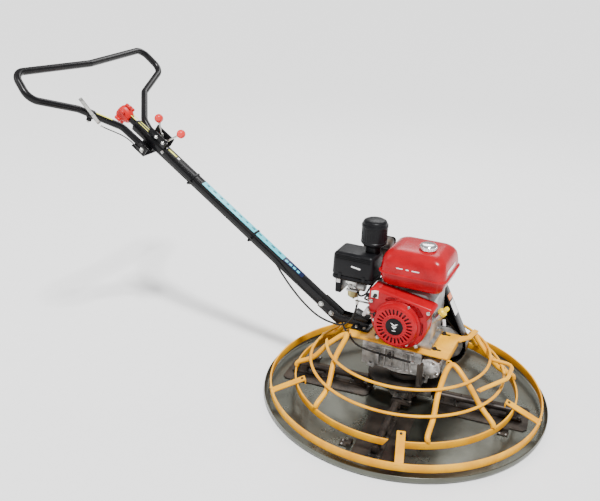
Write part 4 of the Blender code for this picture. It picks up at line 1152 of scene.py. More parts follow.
    def _face(self, body: Shape) -> None:
        """The flat front face with its vents and the fan mouth."""
        mouth = arc((-0.010, 0.340), 0.0745, 357.0, 0.0, 100)
        holes = [mouth]
        for k in range(3):
            holes.append(self._vent(0.0840 + 0.0048 * k, 97.0 - 3.0 * k, 122.0 - 1.5 * k, 0.0013))
        for radius, end in ((0.0835, 75.0), (0.0878, 66.0), (0.0921, 57.0), (0.0964, 50.0)):
            holes.append(self._vent(radius, 27.0, end, 0.0013))
        for k in range(2):
            holes.append(self._vent(0.0835 + 0.0048 * k, -18.0 + 2 * k, 16.0 - 2 * k, 0.0013))
        body.plate([shroud_outline(-0.0080), *holes], self.sheet,
                   near_side(0, self.front + self.sheet / 2, 0), 0.0005)

    def _fixings(self) -> None:
        """Flanged screws, the blank label and the stop switch's knob."""
        screws = Shape()
        for x, z in ((-0.104, 0.4020), (0.092, 0.4020), (0.062, 0.2740), (-0.072, 0.2740)):
            screws.bolt(aim((x, self.front - 0.0002, z), (0, -1, 0)), 0.0085, 0.0045)
        screws.piece("housing_screws", ZINC, "chassis", "lever_steel")
        corners = [(0.0115, -0.014), (0.0115, 0.0135), (-0.0020, 0.0135), (-0.0125, 0.0085),
                   (-0.0125, -0.014)]
        label = Shape().plate([corners], 0.0007, near_side(-0.0925, self.front - 0.0003, 0.4290),
                              0.0001)
        label.piece("housing_label", WHITE, "chassis", "grey_plastic")
        knob = Shape().rod(0.0070, 0.0035, aim((-0.0905, -0.1278, 0.425), (0, -1, 0)), sides=32)
        knob.rod(0.0058, 0.0094, aim((-0.0905, -0.1284, 0.425), (0, -1, 0)), sides=32)
        knob.block((0.0135, 0.0050, 0.0030),
                   near_side(-0.0905, -0.1374, 0.425) @ Matrix.Rotation(0.4, 4, "Z"), 0.001)
        knob.piece("stop_switch_knob", RUBBER, "engine_switch", "rubber", "engine_switch")


@dataclass
class Tank:
    """The pressed fuel tank with its rolled seam, filler, cap and blank stripes."""

    middle: tuple[float, float] = (0.014, 0.004)

    def build(self) -> None:
        """Make the tank, its cap and its stripes."""
        levels = [(0.4535, 0.0900, 0.0820, 0.024), (0.4545, 0.0960, 0.0880, 0.026),
                  (0.4600, 0.1010, 0.0930, 0.027), (0.4680, 0.1050, 0.0970, 0.028),
                  (0.4860, 0.1100, 0.1020, 0.029), (0.4965, 0.1115, 0.1035, 0.030),
                  (0.4975, 0.1140, 0.1060, 0.031), (0.4985, 0.1163, 0.1083, 0.032),
                  (0.5015, 0.1163, 0.1083, 0.032), (0.5025, 0.1140, 0.1060, 0.031),
                  (0.5040, 0.1110, 0.1030, 0.030), (0.5200, 0.1098, 0.1018, 0.030),
                  (0.5400, 0.1070, 0.0990, 0.030), (0.5540, 0.1025, 0.0945, 0.030),
                  (0.5640, 0.0955, 0.0875, 0.030), (0.5710, 0.0860, 0.0780, 0.029),
                  (0.5755, 0.0740, 0.0660, 0.027), (0.5775, 0.0600, 0.0520, 0.024)]
        loops = []
        for height, half_x, half_y, corner in levels:
            outline = rounded_rectangle(2 * half_x, 2 * half_y, corner, 9)
            loops.append([(self.middle[0] + x, self.middle[1] + y, height) for x, y in outline])
        tank = Shape().loft(loops)
        tank.lathe([(0.0, 0.0100), (0.0225, 0.0100), (0.0240, 0.0080), (0.0245, 0.0),
                    (0.0280, -0.0030), (0.0300, -0.0060), (0.0, -0.0060)],
                   moved(0.042, -0.020, 0.5800), 64)
        tank.piece("tank_shell", RED, "chassis", "engine_red", "fuel_tank", sharp=28.0)
        self._cap()
        self._stripes()

    def _cap(self) -> None:
        """The bright cap with its grip flutes and vent."""
        place = moved(0.042, -0.020, 0.5790)
        cap = Shape().lathe([(0.0, 0.0186), (0.0210, 0.0182), (0.0245, 0.0165), (0.0262, 0.0140),
                             (0.0280, 0.0120), (0.0288, 0.0020), (0.0275, 0.0), (0.0240, 0.0),
                             (0.0240, 0.0100), (0.0, 0.0100)], place, 96)
        for k in range(20):
            turn = place @ spin(360.0 * k / 20)
            cap.rod(0.0016, 0.0100, turn @ moved(0.0278, 0, 0.0020), sides=10)
        cap.rod(0.0050, 0.0012, place @ moved(0, 0, 0.0178), 0.0003, 24)
        cap.piece("filler_cap", CHROME, "fuel_cap", "cap_chrome", "fuel_cap")

    def _stripes(self) -> None:
        """Blank pale stripes on the near side and on the front end."""
        stripes = Shape()
        near = self.middle[1] - 0.1016
        tilt = spin(4.5, "X")
        for x, width in ((-0.026, 0.022), (0.0, 0.010), (0.028, 0.026)):
            stripes.plate([rounded_rectangle(width, 0.0036, 0.0015)], 0.0006,
                          near_side(x, near - 0.0004, 0.5235) @ tilt, 0.0001)
        side = (moved(self.middle[0] + 0.1101, -0.012, 0.5235)
                @ spin(90.0) @ spin(90.0, "X")
                @ spin(-4.5, "X"))
        lean = [(-0.050, -0.006), (0.044, -0.006), (0.052, 0.006), (-0.042, 0.006)]
        stripes.plate([lean], 0.0006, side, 0.0001)
        stripes.piece("tank_stripes", WHITE, "chassis", "grey_plastic")


@dataclass
class Intake:
    """The air cleaner with its duct and dust cup, and the carburettor."""

    def build(self) -> None:
        """Make the air cleaner, then the carburettor and its lever."""
        self._cleaner()
        self._cup()
        self._carburettor()
        self._choke()

    def _box(self, size: Sequence[float], middle: Sequence[float], corner: float,
             crown: float) -> list[list[tuple[float, float, float]]]:
        """Sections of a moulded box whose sides draw in and whose top edge is rounded."""
        low, high = middle[2] - size[2] / 2, middle[2] + size[2] / 2
        loops = []
        spans = [(low, 0.003), (low + 0.002, 0.001), (low + 0.006, 0.0), (high - crown, 0.002)]
        spans += [(high - crown + crown * math.sin(a), 0.002 + crown * (1 - math.cos(a)))
                  for a in (math.pi / 2 * k / 7 for k in range(1, 8))]
        for height, inset in spans:
            outline = rounded_rectangle(size[0] - 2 * inset, size[1] - 2 * inset,
                                        max(0.004, corner - inset), 7)
            loops.append([(middle[0] + x, middle[1] + y, height) for x, y in outline])
        return loops

    def _cleaner(self) -> None:
        """The two-part box, its seam, ribs, clips and label."""
        cover = Shape().loft(self._box((0.150, 0.112, 0.082), (-0.193, -0.034, 0.4920), 0.018,
                                       0.016))
        for k in range(4):
            cover.block((0.128, 0.0024, 0.0022),
                        moved(-0.193, -0.0893, 0.5110 + 0.0055 * k), 0.0006)
        cover.piece("cleaner_cover", PLASTIC, "chassis", "black_plastic", "air_cleaner_cover",
                    sharp=30.0)
        base = Shape().loft(self._box((0.151, 0.113, 0.0145), (-0.193, -0.034, 0.4425), 0.019,
                                      0.003))
        base.block((0.022, 0.070, 0.062), moved(-0.243, -0.046, 0.4125), 0.004, 3)
        for z in (0.392, 0.400, 0.408):
            base.block((0.016, 0.0020, 0.0028), moved(-0.243, -0.0812, z), 0.0006)
        base.piece("cleaner_base", PLASTIC, "chassis", "black_plastic", "air_cleaner_base")
        label = Shape().plate([rounded_rectangle(0.014, 0.022, 0.001)], 0.0006,
                              near_side(-0.243, -0.0813, 0.4300), 0.0001)
        label.piece("duct_label", WHITE, "chassis", "grey_plastic")
        tag = Shape().plate([rounded_rectangle(0.034, 0.0050, 0.0022)], 0.0006,
                            near_side(-0.180, -0.0896, 0.4890)
                            @ spin(-8), 0.0001)
        tag.piece("cleaner_tag", WHITE, "chassis", "grey_plastic")
        clips = Shape()
        for x in (-0.236, -0.150):
            clips.block((0.012, 0.0026, 0.020), moved(x, -0.0905, 0.4520), 0.0008)
        clips.piece("cleaner_clips", PLASTIC, "chassis", "black_plastic")

    def _cup(self) -> None:
        """The pre-cleaner: a ribbed neck, a bowl and a flat cap."""
        place = moved(-0.146, -0.020, 0.5345)
        cup = Shape().lathe([(0.0, 0.1135), (0.0300, 0.1130), (0.0380, 0.1090), (0.0405, 0.1050),
                             (0.0405, 0.1000), (0.0435, 0.0990), (0.0450, 0.0960),
                             (0.0450, 0.0900), (0.0430, 0.0885), (0.0425, 0.0400),
                             (0.0445, 0.0380), (0.0445, 0.0330), (0.0400, 0.0270),
                             (0.0300, 0.0200), (0.0255, 0.0180), (0.0255, -0.0050),
                             (0.0, -0.0050)], place, 96)
        for k in range(28):
            turn = place @ spin(360.0 * k / 28)
            cup.block((0.0022, 0.0018, 0.044), turn @ moved(0.0428, 0, 0.0640),
                      0.0005, 1)
        cup.piece("pre_cleaner_bowl", PLASTIC, "chassis", "black_plastic")
        nut = Shape().lathe([(0.0, 0.0015), (0.0100, 0.0010), (0.0120, -0.0020), (0.0, -0.0020)],
                            place @ moved(0, 0, 0.1118), 32)
        nut.piece("pre_cleaner_knob", PLASTIC, "chassis", "black_plastic")

    def _carburettor(self) -> None:
        """Body, bowl, screws, fuel hose and drain of the carburettor."""
        body = Shape()
        body.block((0.034, 0.040, 0.030), moved(-0.196, -0.050, 0.4150), 0.004, 3)
        body.block((0.040, 0.046, 0.008), moved(-0.196, -0.050, 0.3950), 0.002)
        body.rod(0.017, 0.052, aim((-0.206, -0.050, 0.410), (1, 0, 0)), 0.001, 40)
        body.rod(0.007, 0.0045, aim((-0.204, -0.068, 0.412), (0, -1, 0)), 0.0008, 24)
        body.piece("carburettor_body", ALLOY, "chassis", "die_cast", "carburettor")
        bowl = Shape().lathe([(0.0, -0.0300), (0.0050, -0.0300), (0.0060, -0.0270),
                              (0.0150, -0.0260), (0.0195, -0.0220), (0.0205, -0.0150),
                              (0.0205, -0.0040), (0.0222, -0.0030), (0.0222, 0.0), (0.0, 0.0)],
                             moved(-0.196, -0.050, 0.3910), 64)
        bowl.piece("float_bowl", BRASS, "chassis", "die_cast")
        bolts = Shape()
        bolts.bolt(aim((-0.196, -0.050, 0.3608), (0, 0, -1)), 0.008, 0.004)
        for x, z in ((-0.208, 0.4200), (-0.186, 0.4080), (-0.207, 0.4035)):
            bolts.bolt(aim((x, -0.0702, z), (0, -1, 0)), 0.006, 0.0026)
        bolts.piece("carburettor_screws", ZINC, "chassis", "lever_steel")
        hose = smooth([(-0.178, -0.060, 0.3880), (-0.160, -0.078, 0.3860), (-0.140, -0.082, 0.4000),
                       (-0.128, -0.070, 0.4250), (-0.112, -0.050, 0.4480),
                       (-0.090, -0.044, 0.4555)])
        Shape().sweep(hose, 0.0034, 14).piece("fuel_hose", RUBBER, "chassis", "rubber")

    def _choke(self) -> None:
        """The flat choke lever with its bent finger tab."""
        outline = [*arc((0.0, 0.0), 0.0052, -90.0, 90.0, 10), (-0.026, 0.0040),
                   *arc((-0.0265, 0.0), 0.0040, 90.0, 270.0, 8)]
        lever = Shape().plate([outline], 0.0020, near_side(-0.186, -0.0785, 0.428), 0.0004)
        lever.block((0.006, 0.0040, 0.0075), moved(-0.2125, -0.0786, 0.428), 0.0008)
        lever.rod(0.0030, 0.0050, aim((-0.186, -0.0752, 0.428), (0, -1, 0)))
        lever.piece("choke_arm", ZINC, "choke_lever", "lever_steel", "choke_lever")


@dataclass
class Engine:
    """Crankcase, cylinder, muffler, belt side and what is fastened to them."""

    def build(self) -> None:
        """Dress the inner nodes and make the outer details."""
        dress(["crankcase", "cylinder_head"], ALLOY, 0.0012)
        dress(["crankshaft", "clutch_drum"], DARK_STEEL, 0.0005)
        dress(["flywheel"], ALLOY, 0.0006)
        dress(["driven_pulley"], CAST, 0.0005)
        dress(["v_belt"], RUBBER, 0.0005)
        dress(["belt_guard"], BLACK, 0.0015)
        Starter().build()
        Shroud().build()
        Tank().build()
        Intake().build()
        self._muffler()
        self._belt_side()
        self._case_details()
        self._dipstick()

    def _muffler(self) -> None:
        """The muffler's body, its slotted heat shield, spout and screws."""
        place = moved(-0.160, 0.078, 0.498)
        body = Shape().block((0.097, 0.070, 0.098), place, 0.014, 5)
        for k in (-1, 0, 1):
            body.block((0.090, 0.0745, 0.004), place @ moved(0, 0, 0.026 * k),
                       0.0018)
        body.piece("muffler_body", SOOTY, "chassis", "dark_steel", "muffler")
        slot = rounded_rectangle(0.030, 0.0042, 0.0020)
        outlines = [rounded_rectangle(0.100, 0.094, 0.012, 7)]
        for row in range(6):
            for column in (-1, 1):
                outlines.append([(x + 0.021 * column, y - 0.030 + 0.012 * row)
                                 for x, y in reversed(slot)])
        shield = Shape().plate(outlines, 0.0016,
                               moved(-0.160, 0.1155, 0.498)
                               @ spin(-90.0, "X"), 0.0004)
        shield.piece("muffler_shield", BLACK, "chassis", "dark_steel")
        spout = Shape().lathe([(0.0085, 0.0), (0.0105, 0.0), (0.0105, 0.016), (0.0090, 0.017),
                               (0.0085, 0.016)], aim((-0.195, 0.092, 0.5440), (-0.5, 0.3, 0.8)),
                              40, closed=True)
        spout.piece("muffler_spout", SOOTY, "chassis", "dark_steel")
        screws = Shape()
        for x in (-0.200, -0.120):
            for z in (0.462, 0.534):
                screws.bolt(aim((x, 0.1160, z), (0, 1, 0)), 0.007, 0.0008)
        screws.piece("muffler_screws", ZINC, "chassis", "lever_steel")

    def _belt_side(self) -> None:
        """Fixings and the blank panels on the belt guard."""
        slope = spin(62.6, "Y") @ spin(90.0, "X")
        for name, finish, x, z, length in (("guard_panel_white", WHITE, 0.1197, 0.3237, 0.052),
                                           ("guard_panel_orange", AMBER, 0.1003, 0.3611, 0.020)):
            strip = Shape().plate([rounded_rectangle(length, 0.0010, 0.0003, 2)], 0.036,
                                  moved(x, 0.1235, z) @ slope, 0.0001)
            strip.piece(name, finish, "chassis", "grey_plastic")
        screws = Shape()
        for x, z in ((-0.088, 0.375), (0.060, 0.400), (0.156, 0.196), (0.030, 0.190)):
            screws.bolt(aim((x, 0.1484, z), (0, 1, 0)), 0.009, 0.0042, False)
        screws.piece("belt_guard_screws", ZINC, "chassis", "lever_steel")

    def _case_details(self) -> None:
        """Case bolts, drain plug, cover seam and the spark lead on the engine block."""
        case = Shape()
        case.lathe([(0.050, 0.0), (0.052, 0.004), (0.046, 0.006), (0.020, 0.007), (0.0, 0.007),
                    (0.0, 0.0)], aim((-0.010, 0.0873, 0.338), (0, 1, 0)), 64)
        for k in range(6):
            turn = math.radians(60.0 * k + 20.0)
            spot = Vector((-0.010, 0.0873, 0.338)) + Vector(
                (0.060 * math.cos(turn), 0.0, 0.060 * math.sin(turn)))
            case.rod(0.0070, 0.0060, aim(spot, (0, 1, 0)), sides=20)
        case.piece("side_cover_bosses", ALLOY, "chassis", "die_cast")
        bolts = Shape()
        for y in (-0.045, 0.070):
            bolts.bolt(moved(0.0925, y, 0.2484), 0.010, 0.0050)
            bolts.bolt(moved(-0.0815, y, 0.2484), 0.010, 0.0050)
        bolts.bolt(aim((0.0895, 0.045, 0.268), (1, 0, 0)), 0.012, 0.006)
        bolts.piece("crankcase_bolts", ZINC, "chassis", "lever_steel")
        cap = Shape().rod(0.0085, 0.026, aim((-0.128, -0.046, 0.386), (-0.5, -0.8, 0.1)), 0.002, 24,
                          tip=0.0062)
        lead = smooth([(-0.139, -0.064, 0.388), (-0.150, -0.060, 0.372), (-0.150, -0.030, 0.352),
                       (-0.130, -0.008, 0.336), (-0.100, -0.020, 0.326)])
        cap.sweep(lead, 0.0032, 12)
        cap.piece("spark_plug_lead", RUBBER, "chassis", "rubber")

    def _dipstick(self) -> None:
        """The filler's steel collar, the yellow dipstick and its small tag."""
        tilt = Vector((math.sin(math.radians(40)), 0.0, math.cos(math.radians(40))))
        base = Vector((0.098, -0.045, 0.352)) + tilt * 0.0253
        Shape().lathe([(0.0120, -0.020), (0.0145, -0.018), (0.0145, -0.0010), (0.0120, -0.0002)],
                      aim(base, tilt), 40, closed=True).piece(
            "filler_collar", ZINC, "chassis", "lever_steel")
        stick = Shape().lathe([(0.0, 0.0335), (0.0065, 0.0330), (0.0080, 0.0300), (0.0085, 0.0180),
                               (0.0120, 0.0140), (0.0145, 0.0120), (0.0148, 0.0010),
                               (0.0140, 0.0), (0.0, 0.0)], aim(base, tilt), 48)
        for k in range(14):
            turn = aim(base, tilt) @ spin(360.0 * k / 14)
            stick.block((0.0012, 0.0018, 0.009), turn @ moved(0.0147, 0, 0.0065),
                        0.0004, 1)
        stick.piece("dipstick_cap", DIPSTICK, "chassis", "dipstick_yellow", "oil_dipstick")
        tag = Shape().plate([rounded_rectangle(0.010, 0.024, 0.002)], 0.0008,
                            near_side(0.132, -0.061, 0.349) @ Matrix.Rotation(0.15, 4, "Z"),
                            0.0002)
        tag.piece("dipstick_tag", WHITE, "chassis", "grey_plastic")


# ---------------------------------------------------------------- handle and controls
@dataclass
class HandleTube:
    """The square handle tube with its socket, banner and labels."""

    banner: tuple[float, float, float] = (-0.700, -0.290, -0.195)

    def build(self) -> None:
        """Dress the tube and add what is on it."""
        dress(["handle_tube"], BLACK, 0.0008)
        dress(["handle_socket"], BLACK, 0.0012)
        self._banner()
        self._fixings()

    def _top_strip(self, start: float, end: float, width: float, lift: float,
                   finish: Finish, name: str, slot: str) -> None:
        """A thin strip along the tube's upper face."""
        place = HANDLE @ moved((start + end) / 2, 0.0, HANDLE_HALF + lift)
        Shape().plate([rounded_rectangle(abs(end - start), width, 0.002)], 0.0005, place,
                      0.0001).piece(name, finish, "chassis", slot)

    def _banner(self) -> None:
        """The printed banner on the upper face, as plain blocks of colour."""
        start, change, end = self.banner
        self._top_strip(start, change, 0.031, 0.0001, CYAN, "banner_pale_ground", "black_paint")
        self._top_strip(change + 0.002, end, 0.031, 0.0001, BANNER_BLUE, "banner_dark_ground",
                        "black_paint")
        dark, pale = Shape(), Shape()
        for k in range(12):
            width = 0.016 if k % 3 else 0.011
            dark.plate([rounded_rectangle(width, 0.009, 0.003)], 0.0005,
                       HANDLE @ moved(start + 0.020 + 0.033 * k, 0.004,
                                                    HANDLE_HALF + 0.0004), 0.0001)
        for k in range(4):
            pale.plate([rounded_rectangle(0.013, 0.012, 0.003)], 0.0005,
                       HANDLE @ moved(change + 0.014 + 0.019 * k, -0.004,
                                                    HANDLE_HALF + 0.0004), 0.0001)
        dark.piece("banner_dark_blocks", TEAL, "chassis", "black_paint")
        pale.piece("banner_pale_blocks", CYAN, "chassis", "black_paint")
        self._top_strip(-0.884, -0.842, 0.008, 0.0001, CREAM, "handle_label", "black_paint")
        marks = Shape()
        for sign in (-1, 1):
            place = HANDLE @ moved(-1.068, 0.0070 * sign, 0.0186)
            marks.plate([rounded_rectangle(0.036, 0.0045, 0.0015)], 0.0005, place, 0.0001)
            place = HANDLE @ moved(-1.012, 0.0070 * sign, HANDLE_HALF + 0.0002)
            marks.plate([rounded_rectangle(0.052, 0.0035, 0.0015)], 0.0005, place, 0.0001)
        marks.piece("neck_marks", CREAM, "chassis", "black_paint")
        squares = Shape()
        for x in (-0.894, -0.832):
            squares.plate([rounded_rectangle(0.010, 0.010, 0.002)], 0.0005,
                          HANDLE @ moved(x, 0.0, HANDLE_HALF + 0.0001), 0.0001)
        squares.piece("handle_label_ends", WHITE, "chassis", "black_paint")

    def _fixings(self) -> None:
        """Foot bolts, the cable guides and the end cap."""
        bolts = Shape()
        for x in (-0.030, -0.080):
            for side in (-1, 1):
                seat = HANDLE @ moved(x, side * (HANDLE_HALF + 0.0053), 0.0)
                seat = seat @ spin(-90.0 * side, "X")
                bolts.bolt(seat, 0.013, 0.0060)
        for x, y in ((-0.152, -0.036), (-0.152, 0.036), (-0.182, -0.036), (-0.182, 0.036)):
            bolts.bolt(moved(x, y, 0.2423), 0.010, 0.0055)
        bolts.piece("socket_bolts", ZINC, "chassis", "lever_steel")
        plug = Shape().block((0.003, 0.034, 0.034), HANDLE @ moved(0.0010, 0, 0),
                             0.0008)
        plug.piece("tube_end_plug", PLASTIC, "chassis", "black_plastic")
        guides = Shape()
        for x in (-0.430, -0.740):
            guides.block((0.009, 0.0405, 0.0405), HANDLE @ moved(x, 0, 0), 0.0015)
            guides.block((0.009, 0.022, 0.010),
                         HANDLE @ moved(x, -0.028, -0.0080), 0.0025)
        guides.piece("cable_ties", PLASTIC, "chassis", "black_plastic")


@dataclass
class HandWheel:
    """The lobed red hand wheel on the pitch screw."""

    lobes: int = 6
    radius: float = 0.0300

    def build(self) -> None:
        """Make the wheel and the cap on its hub."""
        place = HANDLE @ moved(-1.100, 0, 0) @ spin(-90.0, "Y")
        heights = [(-0.026, 0.50), (-0.0255, 0.62), (-0.020, 0.74), (-0.008, 0.90),
                   (0.004, 0.985), (0.011, 1.0), (0.018, 0.975), (0.024, 0.91), (0.0275, 0.80),
                   (0.0290, 0.58), (0.0296, 0.30)]
        count = 120
        loops = []
        for height, share in heights:
            depth = 0.085 * max(0.0, 1.0 - abs(height) / 0.026)
            ring = []
            for k in range(count):
                angle = 2 * math.pi * k / count
                swell = 1.0 + depth * math.cos(self.lobes * angle)
                ring.append((self.radius * share * swell * math.cos(angle),
                             self.radius * share * swell * math.sin(angle), height))
            loops.append(ring)
        wheel = Shape().loft(loops, place)
        for k in range(self.lobes):
            turn = place @ spin(360.0 * k / self.lobes)
            wheel.rod(0.0068, 0.0200, turn @ moved(0.0345, 0, -0.0060), 0.002, 20)
            wheel.ball(0.0074, (0, 0, 0), (1, 1, 1),
                       turn @ moved(0.0345, 0, 0.0140))
        wheel.piece("hand_wheel", KNOB, "pitch_handwheel", "knob_red", "pitch_handwheel",
                    sharp=50.0)
        hub = Shape().lathe([(0.0, 0.0006), (0.0090, 0.0006), (0.0098, 0.0), (0.0, 0.0)],
                            place @ moved(0, 0, 0.0294), 40)
        hub.piece("wheel_hub_cap", KNOB, "pitch_handwheel", "knob_red")


@dataclass
class Levers:
    """The two ball levers on their bracket."""

    throttle: tuple[float, float, float, float] = (-0.942, 0.050, -0.74, 0.0095)
    speed: tuple[float, float, float, float] = (-0.908, 0.070, 0.458, -0.0095)

    def build(self) -> None:
        """Dress the bracket, then make the levers and their bolts."""
        dress(["lever_bracket"], BLACK, 0.0008)
        self._lever("throttle", self.throttle, "throttle_lever")
        self._lever("speed_lock", self.speed, "speed_lock_lever")
        bolts = Shape()
        for x, _, _, _ in (self.throttle, self.speed):
            for side in (-1, 1):
                seat = HANDLE @ moved(x, side * 0.0231, 0.036)
                bolts.bolt(seat @ spin(-90.0 * side, "X"), 0.009, 0.0045)
            bolts.rod(0.0028, 0.0400, HANDLE @ moved(x, 0.0200, 0.036)
                      @ spin(90.0, "X"))
        bolts.piece("lever_pivot_bolts", ZINC, "chassis", "lever_steel")

    def _lever(self, name: str, sizes: tuple[float, float, float, float], body: str) -> None:
        """One lever: a flat hub, a rod with a ferrule, and its ball."""
        x, reach, lean, y = sizes
        pivot = HANDLE @ moved(x, 0, 0.036) @ Matrix.Rotation(lean, 4, "Y")
        arm = Shape().lathe([(0.0032, 0.0030), (0.0088, 0.0030), (0.0098, 0.0020),
                             (0.0098, -0.0020), (0.0088, -0.0030), (0.0032, -0.0030)],
                            pivot @ moved(0, y, 0)
                            @ spin(90.0, "X"), 48, closed=True)
        arm.rod(0.0034, reach - 0.004, pivot @ moved(0, y, 0.006), 0.0004, 24)
        arm.rod(0.0052, 0.006, pivot @ moved(0, y, reach - 0.008), 0.0012, 24)
        arm.piece(f"{name}_arm", ZINC, body, "lever_steel", body)
        knob = Shape().ball(0.0163, (0, 0, 0), (1, 1, 1),
                            pivot @ moved(0, y, reach + 0.0125), 40)
        knob.piece(f"{name}_ball", BALL, body, "knob_red", sharp=80.0)


@dataclass
class Handlebar:
    """The bent loop, its bracket, the clamp and the stop lever."""

    leg_low: tuple[float, float, float] = (-1.134, -0.068, 0.841)
    leg_high: tuple[float, float, float] = (-1.2225, -0.196, 0.919)
    clamp_at: float = 0.126
    lever_side: float = 0.026
    lever_tilt: float = math.radians(30.0)

    def build(self) -> None:
        """Make the loop, then what is clamped to it."""
        dress(["loop_bracket"], BLACK, 0.0008)
        half = [(-1.0641, 0.042, 0.7728), (-1.134, 0.068, 0.841), (-1.2225, 0.196, 0.919),
                (-1.271, 0.380, 0.978), (-1.3488, 0.357, 1.0551)]
        near = [(x, -y, z) for x, y, z in half]
        path = bent([*near, (-1.321, 0.0, 1.045), *reversed(half)], 0.045, 14)
        Shape().sweep(path, 0.0129, 28).piece("loop_tube", BLACK, "chassis", "black_paint",
                                              "handlebar_loop")
        self._bracket_bolts()
        self._clamp()
        self._strip()

    def _leg_frame(self) -> Matrix:
        """A frame on the near leg: X up the leg, Y to the near side, Z upward."""
        low, high = Vector(self.leg_low), Vector(self.leg_high)
        along = (high - low).normalized()
        turn = along.to_track_quat("X", "Z").to_matrix().to_4x4()
        return Matrix.Translation(low + along * self.clamp_at) @ turn

    def _bracket_bolts(self) -> None:
        """Bolts through the bracket's wings and floor."""
        bolts = Shape()
        for side in (-1, 1):
            seat = HANDLE @ moved(-0.948, side * 0.0642, -0.022)
            bolts.bolt(seat @ spin(-90.0 * side, "X"), 0.011, 0.005)
            seat = HANDLE @ moved(-0.975, side * 0.030, -0.0409)
            bolts.bolt(seat @ spin(180.0, "X"), 0.011, 0.005)
        bolts.piece("loop_bracket_bolts", ZINC, "chassis", "lever_steel")

    def _clamp(self) -> None:
        """The two-part clamp, its screw, and the pressed lever on its side."""
        leg = self._leg_frame()
        band = Shape().lathe([(0.0133, -0.0100), (0.0160, -0.0105), (0.0165, -0.0095),
                              (0.0165, 0.0095), (0.0160, 0.0105), (0.0133, 0.0100)],
                             leg @ spin(90.0, "Y"), 48, closed=True)
        band.block((0.016, 0.0076, 0.014), leg @ moved(0, 0.0139, 0), 0.0015)
        band.block((0.018, 0.010, 0.012), leg @ moved(0, 0.002, -0.0195), 0.002)
        band.piece("lever_clamp", BLACK, "chassis", "black_paint")
        lever = leg @ moved(0, self.lever_side, 0)
        lever = lever @ Matrix.Rotation(-self.lever_tilt, 4, "Y")
        section = [(-0.0077, -0.0052), (-0.0077, 0.0050), (-0.0060, 0.0070), (0.0060, 0.0070),
                   (0.0077, 0.0050), (0.0077, -0.0052), (0.0060, -0.0052), (0.0060, 0.0040),
                   (0.0046, 0.0054), (-0.0046, 0.0054), (-0.0060, 0.0040), (-0.0060, -0.0052)]
        loops = []
        for x, width in ((-0.036, 0.55), (-0.033, 0.80), (-0.028, 1.0), (0.0, 1.0), (0.030, 1.0),
                         (0.066, 0.92), (0.073, 0.78), (0.076, 0.55)):
            loops.append([(x, y * width, z) for y, z in section])
        Shape().loft(loops, lever).piece("stop_lever_pressing", ZINC, "safety_lever",
                                         "lever_steel", "safety_lever")
        pin = Shape().bolt(leg @ moved(0, 0.0340, 0)
                           @ spin(-90.0, "X"), 0.009, 0.004)
        pin.bolt(leg @ moved(0, 0.002, -0.0256) @ spin(180.0, "X"),
                 0.008, 0.004)
        pin.piece("clamp_screws", ZINC, "chassis", "lever_steel")

    def _strip(self) -> None:
        """The pale yellow strip on the near leg and the white one on the far leg."""
        leg = self._leg_frame()
        strip = [leg @ Vector((-0.016 - 0.0035 * k, 0.0018, 0.0066)) for k in range(19)]
        Shape().sweep(strip, 0.0071, 20).piece("near_leg_strip", CREAM, "chassis", "black_paint")
        low, high = Vector((-1.134, 0.068, 0.841)), Vector((-1.2225, 0.196, 0.919))
        facing = Vector((0.62, -0.70, 0.35)).normalized() * 0.0106
        far = [low.lerp(high, 0.02 + 0.028 * k) + facing for k in range(20)]
        Shape().sweep(far, 0.0032, 12).piece("far_leg_strip", WHITE, "chassis", "black_paint")


